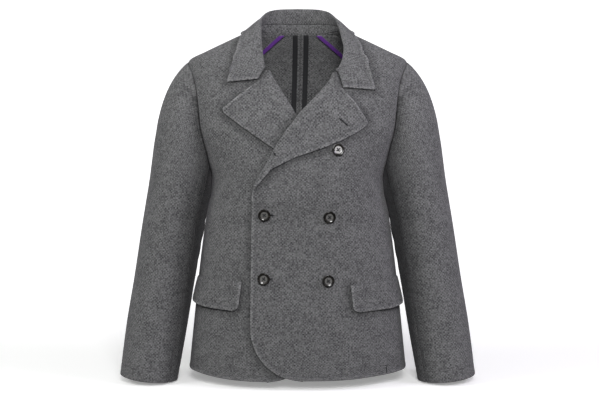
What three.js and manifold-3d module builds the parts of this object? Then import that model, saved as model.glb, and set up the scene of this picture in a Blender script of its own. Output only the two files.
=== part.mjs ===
// A double-breasted pea coat of heavy grey wool, filled out as worn and hollow.
// Millimetres, +Z up, the front faces -Y, and +X is the wearer's left.
// The origin lies between the shoulder seams at the height of the neck points.
import * as THREE from "three";
import { mergeVertices } from "three/addons/utils/BufferGeometryUtils.js";
import Module from "manifold-3d";

const wasm = await Module();
wasm.setup();

// Cloth and seams
const WALL = 3; // heavy wool
const SEAM = 0.4; // between two pieces sewn edge to edge
const PLY = 0.7; // between a piece and the piece that it lies on
const LAPEL_PLY = 1.3; // under a lapel, which springs a little
const TAPE_WALL = 1.2;
const SQUARENESS = 2.4; // of the trunk's rings: 2 is an ellipse, more is boxier

// Levels of the coat, measured down from the neck points
const NECK_TOP = -6;
const BACK_NECK = -13;
const ARMHOLE = { top: -74, bottom: -318, front: 55, back: 62, steps: 9 };
const HEM = { over: -718, under: -722, back: -720 };
const FLAP = { top: -518, bottom: -580 };

// Rings of the trunk: half its width, and how far the front and the back lie from the side seam
const TRUNK = [
  { z: -722, half: 230.5, front: 123, back: 117 },
  { z: -594, half: 216.8, front: 126, back: 118 },
  { z: -465, half: 202, front: 128, back: 117 },
  { z: -386, half: 190, front: 130, back: 120 },
  { z: -342, half: 180.5, front: 131, back: 125 },
  { z: -318, half: 179, front: 131, back: 127 },
  { z: -275, half: 190.5, front: 128, back: 128 },
  { z: -200, half: 216, front: 117, back: 123 },
  { z: -120, half: 226.5, front: 92, back: 110 },
  { z: -78, half: 229, front: 72, back: 98 },
  { z: -70, half: 224, front: 68, back: 95 },
  { z: -52, half: 189, front: 58, back: 88 },
  { z: -33, half: 149, front: 48, back: 80 },
  { z: -4, half: 86, front: 34, back: 68 },
];

// Rings of a sleeve: its outer and inner edge as seen from the front, and its depth either way
const SLEEVE = [
  { z: -732, outer: 373.5, inner: 253, front: 87, back: 27 },
  { z: -628, outer: 360.5, inner: 234.5, front: 78, back: 44 },
  { z: -525, outer: 343.5, inner: 217.5, front: 74, back: 60 },
  { z: -423, outer: 327.5, inner: 198.8, front: 75, back: 71 },
  { z: -382, outer: 320.5, inner: 193.6, front: 75.5, back: 74 },
  { z: -342, outer: 313.5, inner: 186.6, front: 76, back: 76 },
];
const SLEEVE_SLOPE = 0.115; // rise of a ring per millimetre outwards
const SLEEVE_SEAM_STEPS = { front: 7, back: 6 }; // of 20 degrees each, from the outer edge

// Each lapel, from the collar seam down to where its fold meets the front edge.
// fold and edge are distances from the centre, positive towards the lapel's own side.
const OVER_LAPEL = [
  { z: -101, fold: 75, edge: 79 },
  { z: -131, fold: 52, edge: 88.5 },
  { z: -163, fold: 23.5, edge: 115 },
  { z: -183, fold: 4.5, edge: 129 },
  { z: -199, fold: -8, edge: 139.5 },
  { z: -206, fold: -13.5, edge: 135 },
  { z: -218, fold: -23, edge: 116 },
  { z: -234, fold: -34, edge: 86 },
  { z: -249, fold: -43.5, edge: 50 },
  { z: -268, fold: -53.5, edge: -6 },
  { z: -284, fold: -62, edge: -38 },
  { z: -292, fold: -67, edge: -53 },
  { z: -298, fold: -70.5, edge: -62 },
];
const UNDER_LAPEL = [
  { z: -98, fold: 60, edge: 65.5 },
  { z: -115, fold: 46, edge: 76.5 },
  { z: -143, fold: 28, edge: 115 },
  { z: -171, fold: 10, edge: 149.5 },
  { z: -179, fold: 5.5, edge: 147 },
  { z: -211, fold: -18, edge: 104 },
  { z: -247, fold: -42, edge: 51 },
  { z: -283, fold: -64, edge: 0 },
  { z: -316, fold: -80, edge: -50 },
  { z: -334, fold: -87, edge: -74 },
];

// The neckline of each front above its lapel: distance of the cut edge from the centre
const OVER_NECKLINE = [
  { z: -98, edge: 84 },
  { z: -76, edge: 99 },
  { z: -58, edge: 102 },
  { z: -34, edge: 99 },
  { z: -14, edge: 92.5 },
  { z: -6, edge: 88.6 },
];
const UNDER_NECKLINE = [
  { z: -95, edge: 73 },
  { z: -76, edge: 77 },
  { z: -56, edge: 80.5 },
  { z: -34, edge: 82.5 },
  { z: -14, edge: 86.5 },
  { z: -6, edge: 87.5 },
];

// The collar from the centre back round to the collar seam, one row for each section:
// where it is sewn to the neck, the crown of its fold, and its free edge
const OVER_COLLAR = [
  { neckX: 0, neckZ: -13, foldX: 0, foldY: 66, foldZ: 40, edgeX: 0, edgeZ: -42, behind: true },
  { neckX: 38, neckZ: -12, foldX: 36, foldY: 62, foldZ: 39, edgeX: 60, edgeZ: -42, behind: true },
  { neckX: 66, neckZ: -10, foldX: 62, foldY: 45, foldZ: 33, edgeX: 100, edgeZ: -34, behind: true },
  { neckX: 83, neckZ: -7, foldX: 76, foldY: 22, foldZ: 20, edgeX: 115, edgeZ: -23, behind: true },
  { neckX: 90, neckZ: -6, foldX: 80, foldY: 10, foldZ: 14, edgeX: 117.5, edgeZ: -20, behind: false },
  { neckX: 87, neckZ: -6, foldX: 83, foldY: -4, foldZ: 6, edgeX: 124, edgeZ: -32, behind: false },
  { neckX: 88, neckZ: -14, foldX: 86, foldY: -20, foldZ: -5, edgeX: 130, edgeZ: -45, behind: false },
  { neckX: 95, neckZ: -34, foldX: 90, foldY: -40, foldZ: -25, edgeX: 136.5, edgeZ: -64, behind: false },
  { neckX: 98, neckZ: -58, foldX: 94, foldY: -56, foldZ: -48, edgeX: 143, edgeZ: -86, behind: false },
  { neckX: 95, neckZ: -76, foldX: 91, foldY: -68, foldZ: -69, edgeX: 149.5, edgeZ: -109, behind: false },
  { neckX: 84, neckZ: -96, foldX: 80, foldY: -85, foldZ: -94, edgeX: 154.5, edgeZ: -134, behind: false },
];
const UNDER_COLLAR = [
  { neckX: 0, neckZ: -13, foldX: 0, foldY: 66, foldZ: 40, edgeX: 0, edgeZ: -42, behind: true },
  { neckX: 38, neckZ: -12, foldX: 36, foldY: 62, foldZ: 39, edgeX: 60, edgeZ: -42, behind: true },
  { neckX: 65, neckZ: -10, foldX: 61, foldY: 45, foldZ: 33, edgeX: 98, edgeZ: -34, behind: true },
  { neckX: 81, neckZ: -7, foldX: 73, foldY: 22, foldZ: 20, edgeX: 114.5, edgeZ: -23, behind: true },
  { neckX: 90, neckZ: -6, foldX: 75, foldY: 10, foldZ: 14, edgeX: 117.5, edgeZ: -20, behind: false },
  { neckX: 84, neckZ: -6, foldX: 75, foldY: -4, foldZ: 6, edgeX: 119.5, edgeZ: -31, behind: false },
  { neckX: 82, neckZ: -15, foldX: 75, foldY: -20, foldZ: -5, edgeX: 122, edgeZ: -43, behind: false },
  { neckX: 78, neckZ: -34, foldX: 74, foldY: -40, foldZ: -25, edgeX: 126.5, edgeZ: -60, behind: false },
  { neckX: 76, neckZ: -56, foldX: 72, foldY: -56, foldZ: -47, edgeX: 131, edgeZ: -78, behind: false },
  { neckX: 73, neckZ: -76, foldX: 69, foldY: -68, foldZ: -69, edgeX: 136, edgeZ: -99, behind: false },
  { neckX: 69, neckZ: -93, foldX: 65.5, foldY: -82, foldZ: -90, edgeX: 140, edgeZ: -118.5, behind: false },
];
const OVER_NOTCH = { x: 91, z: -131 };
const UNDER_NOTCH = { x: 79, z: -113.5 };
const STAND_SHARE = 0.4; // of the way from the neck seam to the crown of the fold
const COLLAR_LIFT = 3.6; // the collar's fall stands this far off the shoulders

// Front edges below the lapels: distance past the centre, how far the edge bends in to meet
// the fold and over what height, and the round lower corner
const OVER_EDGE = { top: -88, middle: -95, bottom: -97, bend: 17, bendHeight: 45, radius: 106 };
const UNDER_EDGE = { top: -88, middle: -66, bottom: -38, bend: 0, bendHeight: 45, radius: 100 };
const EDGE_MIDDLE = -420;

// Buttons, in columns down the over front
const BUTTON = { radius: 12.5, thickness: 4.2, rim: 2.6, dish: 1.3, hole: 1.1, spread: 2.3 };
const BUTTON_PLACES = [
  { x: 78.8, z: -252.7 },
  { x: -64.9, z: -382 },
  { x: 62.9, z: -386 },
  { x: -67.2, z: -511 },
  { x: 61.2, z: -515 },
];

// Bound seam allowances down the centre back, and bound facings beside the back neck
const BACK_TAPE = { width: 10, apart: 13.4, bottom: -690 };
const BACK_SEAM = { top: 6.5, level: -300 }; // how far the seam leans off centre at the neck
const FACING = { lift: 1.2, inner: 36, slope: 0.86, bottom: -96, wall: 2, tape: 9.5 };

const WOOL = { color: 0x6a6a6e, roughness: 0.92, metalness: 0 };
const BINDING = { color: 0x232325, roughness: 0.8, metalness: 0 };
const PURPLE = { color: 0x46206e, roughness: 0.75, metalness: 0 };
const HORN = { color: 0x26241f, roughness: 0.35, metalness: 0 };

const point = (x, y, z) => new THREE.Vector3(x, y, z);
const range = (n) => Array.from({ length: n + 1 }, (_, i) => i / n);
const mix = (a, b, t) => a + (b - a) * t;
const rise = (t) => THREE.MathUtils.smoothstep(t, 0, 1);

// A smooth line through one column of a table, read at a height.
function through(table, column) {
  const rows = [...table].sort((a, b) => a.z - b.z);
  const steps = rows.slice(1).map((r, i) => (r[column] - rows[i][column]) / (r.z - rows[i].z));
  const slopes = rows.map((_, i) => {
    const below = steps[Math.max(i - 1, 0)];
    const above = steps[Math.min(i, steps.length - 1)];
    return below * above <= 0 ? 0 : (2 * below * above) / (below + above);
  });
  return (z) => {
    const found = rows.findIndex((r, i) => i > 0 && z <= r.z);
    const i = found < 0 ? rows.length - 1 : found;
    const span = rows[i].z - rows[i - 1].z;
    const t = THREE.MathUtils.clamp((z - rows[i - 1].z) / span, 0, 1);
    const a = rows[i - 1][column];
    const b = rows[i][column];
    const ease = t * t * (3 - 2 * t);
    const leave = t * (1 - t) * (1 - t) * span * slopes[i - 1];
    const arrive = t * t * (t - 1) * span * slopes[i];
    return mix(a, b, ease) + leave + arrive;
  };
}

const trunk = {
  half: through(TRUNK, "half"),
  front: through(TRUNK, "front"),
  back: through(TRUNK, "back"),
};

// A point of the trunk's outside: angle 0 is the centre front, 90 degrees the wearer's left side.
function trunkPoint(angle, z) {
  const s = Math.sin(angle);
  const c = Math.cos(angle);
  const reach = (Math.abs(s) ** SQUARENESS + Math.abs(c) ** SQUARENESS) ** (-1 / SQUARENESS);
  const depth = c > 0 ? trunk.front(z) : trunk.back(z);
  return point(trunk.half(z) * reach * s, -depth * reach * c, z);
}

function trunkNormal(angle, z) {
  const turn = 0.01;
  const step = 1.5;
  const around = trunkPoint(angle + turn, z).sub(trunkPoint(angle - turn, z));
  const up = trunkPoint(angle, z + step).sub(trunkPoint(angle, z - step));
  return around.cross(up).normalize();
}

// A point at a height above the trunk's outside, below it where the lift is negative.
function onTrunk(angle, z, lift) {
  return trunkPoint(angle, z).addScaledVector(trunkNormal(angle, z), lift);
}

// The angle at which the trunk has a given distance from the centre.
function angleAt(x, z, behind = false) {
  const share = Math.min(Math.abs(x) / trunk.half(z), 0.99999) ** SQUARENESS;
  const front = Math.atan((share / (1 - share)) ** (1 / SQUARENESS)) * Math.sign(x);
  return behind ? Math.PI - front : front;
}

// The angle at which the trunk has a given depth before or behind the side seam.
function angleAtDepth(depth, z, behind = false) {
  const full = behind ? trunk.back(z) : trunk.front(z);
  const across = (1 - (depth / full) ** SQUARENESS) ** (1 / SQUARENESS);
  const front = Math.atan2(across, depth / full);
  return behind ? Math.PI - front : front;
}

// Turns a place on the wearer's left into the one on the side given, 1 or -1.
const onSide = (p, side) => point(p.x * side, p.y, p.z);

// The ring through a point tells how high the point stands above the trunk's outside.
function clearOf(p, need) {
  if (p.z > NECK_TOP) return p;
  const across = p.x / trunk.half(p.z);
  const depth = -p.y / (p.y < 0 ? trunk.front(p.z) : trunk.back(p.z));
  const angle = Math.atan2(across, depth);
  const normal = trunkNormal(angle, p.z);
  const height = p.clone().sub(trunkPoint(angle, p.z)).dot(normal);
  return height < need ? p.addScaledVector(normal, need - height) : p;
}

// Normals of a sheet of points, from its neighbours along and across.
function sheetNormals(sheet, closed = false) {
  return sheet.map((row, i) =>
    row.map((p, j) => {
      const last = row.length - 1;
      const before = closed && j === 0 ? row[last - 1] : row[Math.max(j - 1, 0)];
      const after = closed && j === last ? row[1] : row[Math.min(j + 1, last)];
      const up = sheet[Math.min(i + 1, sheet.length - 1)][j].clone();
      up.sub(sheet[Math.max(i - 1, 0)][j]);
      return after.clone().sub(before).cross(up).normalize();
    }),
  );
}

function moved(sheet, normals, distance) {
  return sheet.map((row, i) =>
    row.map((p, j) => p.clone().addScaledVector(normals[i][j], distance)),
  );
}

// The two triangles of a cell, split along its shorter diagonal, as rows and columns.
function halves(sheet, i, j) {
  const corners = [
    [i, j],
    [i, j + 1],
    [i + 1, j + 1],
    [i + 1, j],
  ];
  const [a, b, c, d] = corners;
  const rising = sheet[i][j].distanceTo(sheet[i + 1][j + 1]);
  const falling = sheet[i][j + 1].distanceTo(sheet[i + 1][j]);
  if (rising <= falling) return [[a, b, c], [a, c, d]];
  return [[a, b, d], [b, c, d]];
}

// One closed wall of cloth between two sheets of points of the same size.
function wallGeometry(face, rear) {
  const rows = face.length;
  const columns = face[0].length;
  const positions = [];
  const index = [];
  [face, rear].forEach((sheet) => sheet.flat().forEach((p) => positions.push(p.x, p.y, p.z)));
  const at = (side, i, j) => (side * rows + i) * columns + j;
  const quad = (a, b, c, d) => index.push(a, b, c, a, c, d);
  for (let i = 0; i + 1 < rows; i++) {
    for (let j = 0; j + 1 < columns; j++) {
      halves(face, i, j).forEach((corners) => {
        const [a, b, c] = corners.map(([r, k]) => at(0, r, k));
        const [d, e, f] = corners.map(([r, k]) => at(1, r, k));
        index.push(a, b, c, d, f, e);
      });
    }
  }
  for (let i = 0; i + 1 < rows; i++) {
    quad(at(0, i, 0), at(0, i + 1, 0), at(1, i + 1, 0), at(1, i, 0));
    const j = columns - 1;
    quad(at(0, i, j), at(1, i, j), at(1, i + 1, j), at(0, i + 1, j));
  }
  for (let j = 0; j + 1 < columns; j++) {
    quad(at(0, 0, j), at(1, 0, j), at(1, 0, j + 1), at(0, 0, j + 1));
    const i = rows - 1;
    quad(at(0, i, j), at(0, i, j + 1), at(1, i, j + 1), at(1, i, j));
  }
  const geometry = new THREE.BufferGeometry();
  geometry.setAttribute("position", new THREE.Float32BufferAttribute(positions, 3));
  geometry.setIndex(index);
  if (signedVolume(geometry) < 0) index.reverse();
  geometry.setIndex(index);
  geometry.computeVertexNormals();
  return geometry;
}

function signedVolume(geometry) {
  const p = geometry.getAttribute("position");
  const order = geometry.index.array;
  const corner = (k) => new THREE.Vector3().fromBufferAttribute(p, order[k]);
  let sum = 0;
  for (let k = 0; k < order.length; k += 3) {
    sum += corner(k).dot(corner(k + 1).cross(corner(k + 2)));
  }
  return sum / 6;
}

const coat = new THREE.Group();
coat.name = "pea_coat";

function add(name, geometry, look) {
  const mesh = new THREE.Mesh(geometry, new THREE.MeshStandardMaterial(look));
  mesh.name = name;
  coat.add(mesh);
  return mesh;
}

// Armhole and sleeve, worked out on the wearer's left

// A place round the armhole, from its top through the front, the bottom and the back.
function armholePlace(turn) {
  const middle = (ARMHOLE.top + ARMHOLE.bottom) / 2;
  const reach = (ARMHOLE.top - ARMHOLE.bottom) / 2;
  const behind = Math.sin(turn) < 0;
  const z = middle + reach * Math.cos(turn);
  const full = behind ? ARMHOLE.back : ARMHOLE.front;
  const depth = Math.max(full * Math.abs(Math.sin(turn)), SEAM / 2);
  return { z, angle: angleAtDepth(depth, z, behind) };
}

const sleeve = {
  outer: through(SLEEVE, "outer"),
  inner: through(SLEEVE, "inner"),
  front: through(SLEEVE, "front"),
  back: through(SLEEVE, "back"),
};

function sleeveRingPoint(turn, z) {
  const s = Math.sin(turn);
  const c = Math.cos(turn);
  const middle = (sleeve.outer(z) + sleeve.inner(z)) / 2;
  const half = (sleeve.outer(z) - sleeve.inner(z)) / 2;
  const centre = (sleeve.back(z) - sleeve.front(z)) / 2;
  const depth = (sleeve.back(z) + sleeve.front(z)) / 2;
  return point(middle + half * c, centre - depth * s, z + SLEEVE_SLOPE * half * c);
}

// The direction in which the cloth leaves the armhole.
function sleeveStart(turn) {
  const c = Math.cos(turn);
  return point(0.45 + 0.33 * c, -0.34 * Math.sin(turn), -0.8 + 0.15 * c).normalize();
}

// Points of the crown of the sleeve, from the armhole to its first ring.
function sleeveCrownPoint(turn, t) {
  const top = SLEEVE[SLEEVE.length - 1].z;
  const place = armholePlace(turn);
  const start = trunkPoint(place.angle, place.z).addScaledVector(sleeveStart(turn), SEAM);
  const end = sleeveRingPoint(turn, top);
  const reach = start.distanceTo(end);
  const along = end.clone().sub(sleeveRingPoint(turn, top - 20)).normalize().negate();
  const a = (1 + 2 * t) * (1 - t) ** 2;
  const b = t * (1 - t) ** 2 * reach;
  const d = t * t * (t - 1) * reach;
  return start
    .multiplyScalar(a)
    .addScaledVector(sleeveStart(turn), b)
    .addScaledVector(end, 1 - a)
    .addScaledVector(along, d);
}

const AROUND = 2 * ARMHOLE.steps;
const turns = range(AROUND).map((t) => t * 2 * Math.PI);
const sleeveLevels = [-342, -382, -423, -474, -525, -577, -628, -680, -732];
const sleeveSheet = [
  ...range(6)
    .slice(0, -1)
    .map((t) => turns.map((turn) => sleeveCrownPoint(turn, t))),
  ...sleeveLevels.map((z) => turns.map((turn) => sleeveRingPoint(turn, z))),
];
const sleeveNormals = sheetNormals(sleeveSheet, true);
if (sleeveNormals[8][0].x < 0) sleeveNormals.flat().forEach((n) => n.negate());

// At a seam whose two sides slope away from each other, both edges share one direction.
const armholeNormals = turns.map((turn, j) => {
  const place = armholePlace(turn);
  const body = trunkNormal(place.angle, place.z);
  const sum = body.clone().add(sleeveNormals[0][j]);
  const share = rise((sum.length() - 0.8) / 0.6);
  const shared = sum.normalize();
  sleeveNormals[0][j].lerp(shared, share).normalize();
  return body.lerp(shared, share).normalize();
});

function nudged(from, towards, distance) {
  return from.clone().addScaledVector(towards.clone().sub(from).normalize(), distance);
}

// Part of a sleeve between two of its lengthwise lines.
function sleevePiece(name, first, last, side) {
  const columns = Array.from({ length: last - first + 1 }, (_, k) => first + k);
  const read = (rows, i, j) => rows[i][((j % AROUND) + AROUND) % AROUND];
  const cut = (rows) =>
    rows.map((row, i) =>
      columns.map((j) => {
        const p = read(rows, i, j);
        if (j === first) return nudged(p, read(rows, i, j + 1), SEAM / 2);
        if (j === last) return nudged(p, read(rows, i, j - 1), SEAM / 2);
        return p;
      }),
    );
  const face = cut(sleeveSheet);
  const rear = cut(moved(sleeveSheet, sleeveNormals, -WALL));
  const turned = (sheet) => sheet.map((row) => row.map((p) => onSide(p, side)));
  add(name, wallGeometry(turned(face), turned(rear)), WOOL);
}

function sleeves() {
  for (const [word, side] of [
    ["left", 1],
    ["right", -1],
  ]) {
    const backSeam = AROUND - SLEEVE_SEAM_STEPS.back;
    sleevePiece(`sleeve_upper_${word}`, backSeam, AROUND + SLEEVE_SEAM_STEPS.front, side);
    sleevePiece(`sleeve_under_${word}`, SLEEVE_SEAM_STEPS.front, backSeam, side);
  }
}

// Rows of the trunk: the skirt, the armhole's own points, and the shoulder slope
const ARMHOLE_ROWS = range(ARMHOLE.steps).map((t) => ({ turn: Math.PI * (1 - t) }));
ARMHOLE_ROWS.forEach((row) => {
  row.z = armholePlace(row.turn).z;
});
const SKIRT_ROWS = [-706, -680, -648, -612, -580, -549, -518, -480, -440, -400, -360];
const SHOULDER_ROWS = [-61, -47, -33, -19, NECK_TOP];

function trunkRows(hem) {
  return [
    { z: hem },
    ...SKIRT_ROWS.map((z) => ({ z })),
    ...ARMHOLE_ROWS,
    ...SHOULDER_ROWS.map((z) => ({ z })),
  ];
}

// The outer end of a trunk row: side seam, armhole or shoulder seam.
function rowEnd(row, behind) {
  if (row.turn === undefined) {
    return { angle: angleAtDepth(SEAM / 2, row.z, behind), normal: null };
  }
  const turn = behind ? 2 * Math.PI - row.turn : row.turn;
  const step = Math.round((turn / (2 * Math.PI)) * AROUND);
  const atSeam = Math.sin(row.turn) < 1e-6;
  const angle = atSeam ? angleAtDepth(SEAM / 2, row.z, behind) : armholePlace(turn).angle;
  return { angle, normal: armholeNormals[step] };
}

const overFold = through(OVER_LAPEL, "fold");
const underFold = through(UNDER_LAPEL, "fold");
const overNeckline = through(OVER_NECKLINE, "edge");
const underNeckline = through(UNDER_NECKLINE, "edge");

// The front edge below the lapel, with its round corner at the hem.
function edgeBelow(z, edge, top, hem) {
  const corner = hem + edge.radius;
  if (z < corner) {
    const drop = Math.min(corner - z, edge.radius);
    return edge.bottom + edge.radius - Math.sqrt(edge.radius ** 2 - drop ** 2);
  }
  if (z < EDGE_MIDDLE) return mix(edge.bottom, edge.middle, (z - corner) / (EDGE_MIDDLE - corner));
  const bend = edge.bend * Math.max(0, 1 - (top - z) / edge.bendHeight) ** 2;
  return bend + mix(edge.middle, edge.top, (z - EDGE_MIDDLE) / (top - EDGE_MIDDLE));
}

// How far a front's cut edge stays back inside the crown of its lapel's fold.
const FOLD_SETBACK = 6;

function frontStart(front, z) {
  const lapelTop = front.lapel[0].z;
  const lapelBottom = front.lapel[front.lapel.length - 1].z;
  if (z >= lapelTop) return front.neckline(z);
  if (z > lapelBottom) {
    const drawnIn = Math.min(1, (z - lapelBottom) / 8, 0.3 + (lapelTop - z) / 20);
    return front.fold(z) + FOLD_SETBACK * drawnIn;
  }
  return edgeBelow(z, front.edge, lapelBottom, front.hem);
}

// How far the over front stands off the trunk, to pass over the under front and its lapel.
function overLift(x, z) {
  const overlap = (WALL + SEAM + 0.2) * (1 - rise((x - 100) / 60)) * rise((-110 - z) / 60);
  const reach = rise((-120 - z) / 55) * rise((z + 400) / 55);
  const lapel = (WALL + 2.4) * reach * (1 - rise((x - 96) / 60));
  const edge = 1.2 * (1 - rise((x + 100) / 45)) * rise((-300 - z) / 80);
  return overlap + lapel + edge;
}

const OVER = {
  side: 1,
  columns: 15,
  hem: HEM.over,
  edge: OVER_EDGE,
  lapel: OVER_LAPEL,
  fold: overFold,
  neckline: overNeckline,
  lift: overLift,
};
const UNDER = {
  side: -1,
  columns: 13,
  hem: HEM.under,
  edge: UNDER_EDGE,
  lapel: UNDER_LAPEL,
  fold: underFold,
  neckline: underNeckline,
  lift: () => 0,
};

// The points and normals of a front, row by row from its front edge to the side.
function frontSheet(front) {
  const sheet = [];
  const normals = [];
  const levels = trunkRows(front.hem).map((row) => row.z);
  for (const row of trunkRows(front.hem)) {
    const start = angleAt(frontStart(front, row.z), row.z);
    const end = rowEnd(row, false);
    const angles = range(front.columns).map((t) => mix(start, end.angle, t));
    sheet.push(
      angles.map((angle) => {
        const lift = front.lift(trunkPoint(angle, row.z).x, row.z);
        return onTrunk(angle, row.z, lift);
      }),
    );
    const own = angles.map((angle) => trunkNormal(angle, row.z));
    if (end.normal) own[own.length - 1] = end.normal;
    normals.push(own);
  }
  return { sheet, normals, levels };
}

function frontPanel(name, front) {
  const { sheet, normals, levels } = frontSheet(front);
  const turned = (rows) => rows.map((row) => row.map((p) => onSide(p, front.side)));
  add(name, wallGeometry(turned(sheet), turned(moved(sheet, normals, -WALL))), WOOL);
  return { sheet, normals, levels };
}

// How far the centre back seam leans to the wearer's left.
const backSeam = (z) => BACK_SEAM.top * rise((z - BACK_SEAM.level) / (BACK_NECK - BACK_SEAM.level));

function backPanel(name, side) {
  const columns = 9;
  const sheet = [];
  const normals = [];
  const rows = trunkRows(HEM.back);
  rows.forEach((row, i) => {
    const end = rowEnd(row, true);
    const drops = range(columns).map((t) => {
      const top = i === rows.length - 1 ? BACK_NECK - NECK_TOP : 0;
      return top * (1 - rise(t));
    });
    const seam = side * backSeam(row.z) + SEAM / 2;
    const start = angleAt(seam, row.z, true);
    const places = drops.map((drop, k) => ({
      angle: mix(start, end.angle, k / columns),
      z: row.z + drop,
    }));
    sheet.push(places.map((p) => onTrunk(p.angle, p.z, 0)));
    const own = places.map((p) => trunkNormal(p.angle, p.z));
    if (end.normal) own[own.length - 1] = end.normal;
    normals.push(own);
  });
  const turned = (points) => points.map((row) => row.map((p) => onSide(p, side)));
  add(name, wallGeometry(turned(sheet), turned(moved(sheet, normals, -WALL))), WOOL);
}

// A place on a front's own facets at a distance from the centre and a height, moved out.
function onPanel(panel, x, z, lift) {
  let best = { inside: -Infinity };
  for (let i = 0; i + 1 < panel.sheet.length; i++) {
    if (panel.levels[i + 1] < z - 30 || panel.levels[i] > z + 30) continue;
    for (let j = 0; j + 1 < panel.sheet[i].length; j++) {
      for (const corners of halves(panel.sheet, i, j)) {
        const [a, b, c] = corners.map(([r, k]) => panel.sheet[r][k]);
        const whole = (b.x - a.x) * (c.z - a.z) - (c.x - a.x) * (b.z - a.z);
        const u = ((x - a.x) * (c.z - a.z) - (c.x - a.x) * (z - a.z)) / whole;
        const v = ((b.x - a.x) * (z - a.z) - (x - a.x) * (b.z - a.z)) / whole;
        const inside = Math.min(u, v, 1 - u - v);
        if (inside > best.inside) best = { inside, corners, weights: [1 - u - v, u, v] };
      }
    }
  }
  const place = point(0, 0, 0);
  const normal = point(0, 0, 0);
  best.corners.forEach(([r, k], n) => {
    place.addScaledVector(panel.sheet[r][k], best.weights[n]);
    normal.addScaledVector(panel.normals[r][k], Math.max(best.weights[n], 0));
  });
  return place.addScaledVector(normal.normalize(), lift);
}

// How far from the centre a panel's first column stands at a height.
function cutEdge(panel, z) {
  const i = panel.levels.findIndex((level) => level >= z);
  const [below, above] = [panel.levels[i - 1], panel.levels[i]];
  return mix(panel.sheet[i - 1][0].x, panel.sheet[i][0].x, (z - below) / (above - below));
}

// A lapel: it wraps the front's cut edge, swells at the fold and lies on the front.
function lapel(name, front, panel, swell) {
  const fold = [
    { out: -4.4, lift: -2.6 },
    { out: -5.5, lift: 0.2 },
    { out: -3.9, lift: 3.1 },
    { out: 0.3, lift: 4.7 },
  ];
  const shares = [0.08, 0.17, 0.28, 0.4, 0.52, 0.64, 0.76, 0.88, 1];
  const own = front.lapel.map((r) => r.z);
  const [top, bottom] = [own[0], own[own.length - 1]];
  const levels = panel.levels.filter((z) => z < top - 3 && z > bottom + 3);
  own.forEach((z) => {
    if (levels.every((level) => Math.abs(level - z) > 3)) levels.push(z);
  });
  levels.sort((a, b) => b - a);
  const edgeAt = (z) => {
    const i = Math.max(1, front.lapel.findIndex((r) => r.z <= z + 1e-6));
    const above = front.lapel[i - 1];
    const below = front.lapel[i];
    return mix(above.edge, below.edge, (above.z - z) / (above.z - below.z));
  };
  const sheet = levels.map((z) => {
    const rim = cutEdge(panel, z);
    const width = edgeAt(z) - rim;
    const full = Math.min(1, width / 24);
    const slope = (cutEdge(panel, z + 2) - cutEdge(panel, z - 2)) / 4;
    const lean = 1.12 * Math.hypot(1, slope);
    const near = fold.map((f) => ({ x: rim + f.out * lean, lift: f.lift }));
    const flat = shares.map((share) => {
      const s = share * width;
      const bump = swell * full * Math.exp(-((s - 9) ** 2) / 260);
      return { x: rim + Math.max(s, 3 * share + 1), lift: WALL + LAPEL_PLY + bump };
    });
    return [...near, ...flat].map(({ x, lift }) => onPanel(panel, x, z, lift));
  });
  const normals = sheetNormals(sheet);
  const middle = Math.floor(levels.length / 2);
  if (normals[middle][6].y > 0) normals.flat().forEach((n) => n.negate());
  const turned = (rows) => rows.map((row) => row.map((p) => onSide(p, front.side)));
  add(name, wallGeometry(turned(sheet), turned(moved(sheet, normals, -WALL))), WOOL);
}

// The rows of a collar table with the places of the neck and the free edge as angles.
function collarStations(table, side) {
  const keys = ["neckX", "neckZ", "foldX", "foldY", "foldZ", "edgeX", "edgeZ"];
  const angles = table.map((r) => ({
    neck: angleAt(r.neckX, r.neckZ, r.behind),
    edge: angleAt(r.edgeX, r.edgeZ, r.behind),
  }));
  return table.map((r, i) => {
    const values = Object.fromEntries(keys.map((k) => [k, r[k]]));
    return { ...values, neckAngle: angles[i].neck, edgeAngle: angles[i].edge, side };
  });
}

// A collar section part of the way from one to the next.
function between(a, b, t) {
  const out = {};
  for (const key of Object.keys(a)) out[key] = key === "side" ? a.side : mix(a[key], b[key], t);
  return out;
}

// The frame of one collar section: neck seam, crown of the fold, free edge and the way out.
function collarSection(s) {
  const neck = onTrunk(s.neckAngle, s.neckZ, -WALL / 2);
  const fold = point(s.foldX, s.foldY, s.foldZ);
  const edge = onTrunk(s.edgeAngle, s.edgeZ, WALL + COLLAR_LIFT);
  const neckCentre = (trunk.back(BACK_NECK) - trunk.front(BACK_NECK)) / 2;
  const away = point(s.foldX, s.foldY - neckCentre, 0).normalize();
  const out = trunkNormal(s.neckAngle, s.neckZ).multiplyScalar(0.8).add(away).normalize();
  const slope = trunkPoint(s.edgeAngle, s.edgeZ - 4).sub(trunkPoint(s.edgeAngle, s.edgeZ));
  return { neck, fold, edge, out, slope: slope.normalize() };
}

// A place on the curve from a to b that leaves and arrives in the given directions.
function curve(a, leave, b, arrive, t) {
  const h = (1 + 2 * t) * (1 - t) ** 2;
  return a
    .clone()
    .multiplyScalar(h)
    .addScaledVector(leave, t * (1 - t) ** 2)
    .addScaledVector(b, 1 - h)
    .addScaledVector(arrive, t * t * (t - 1));
}

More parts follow.
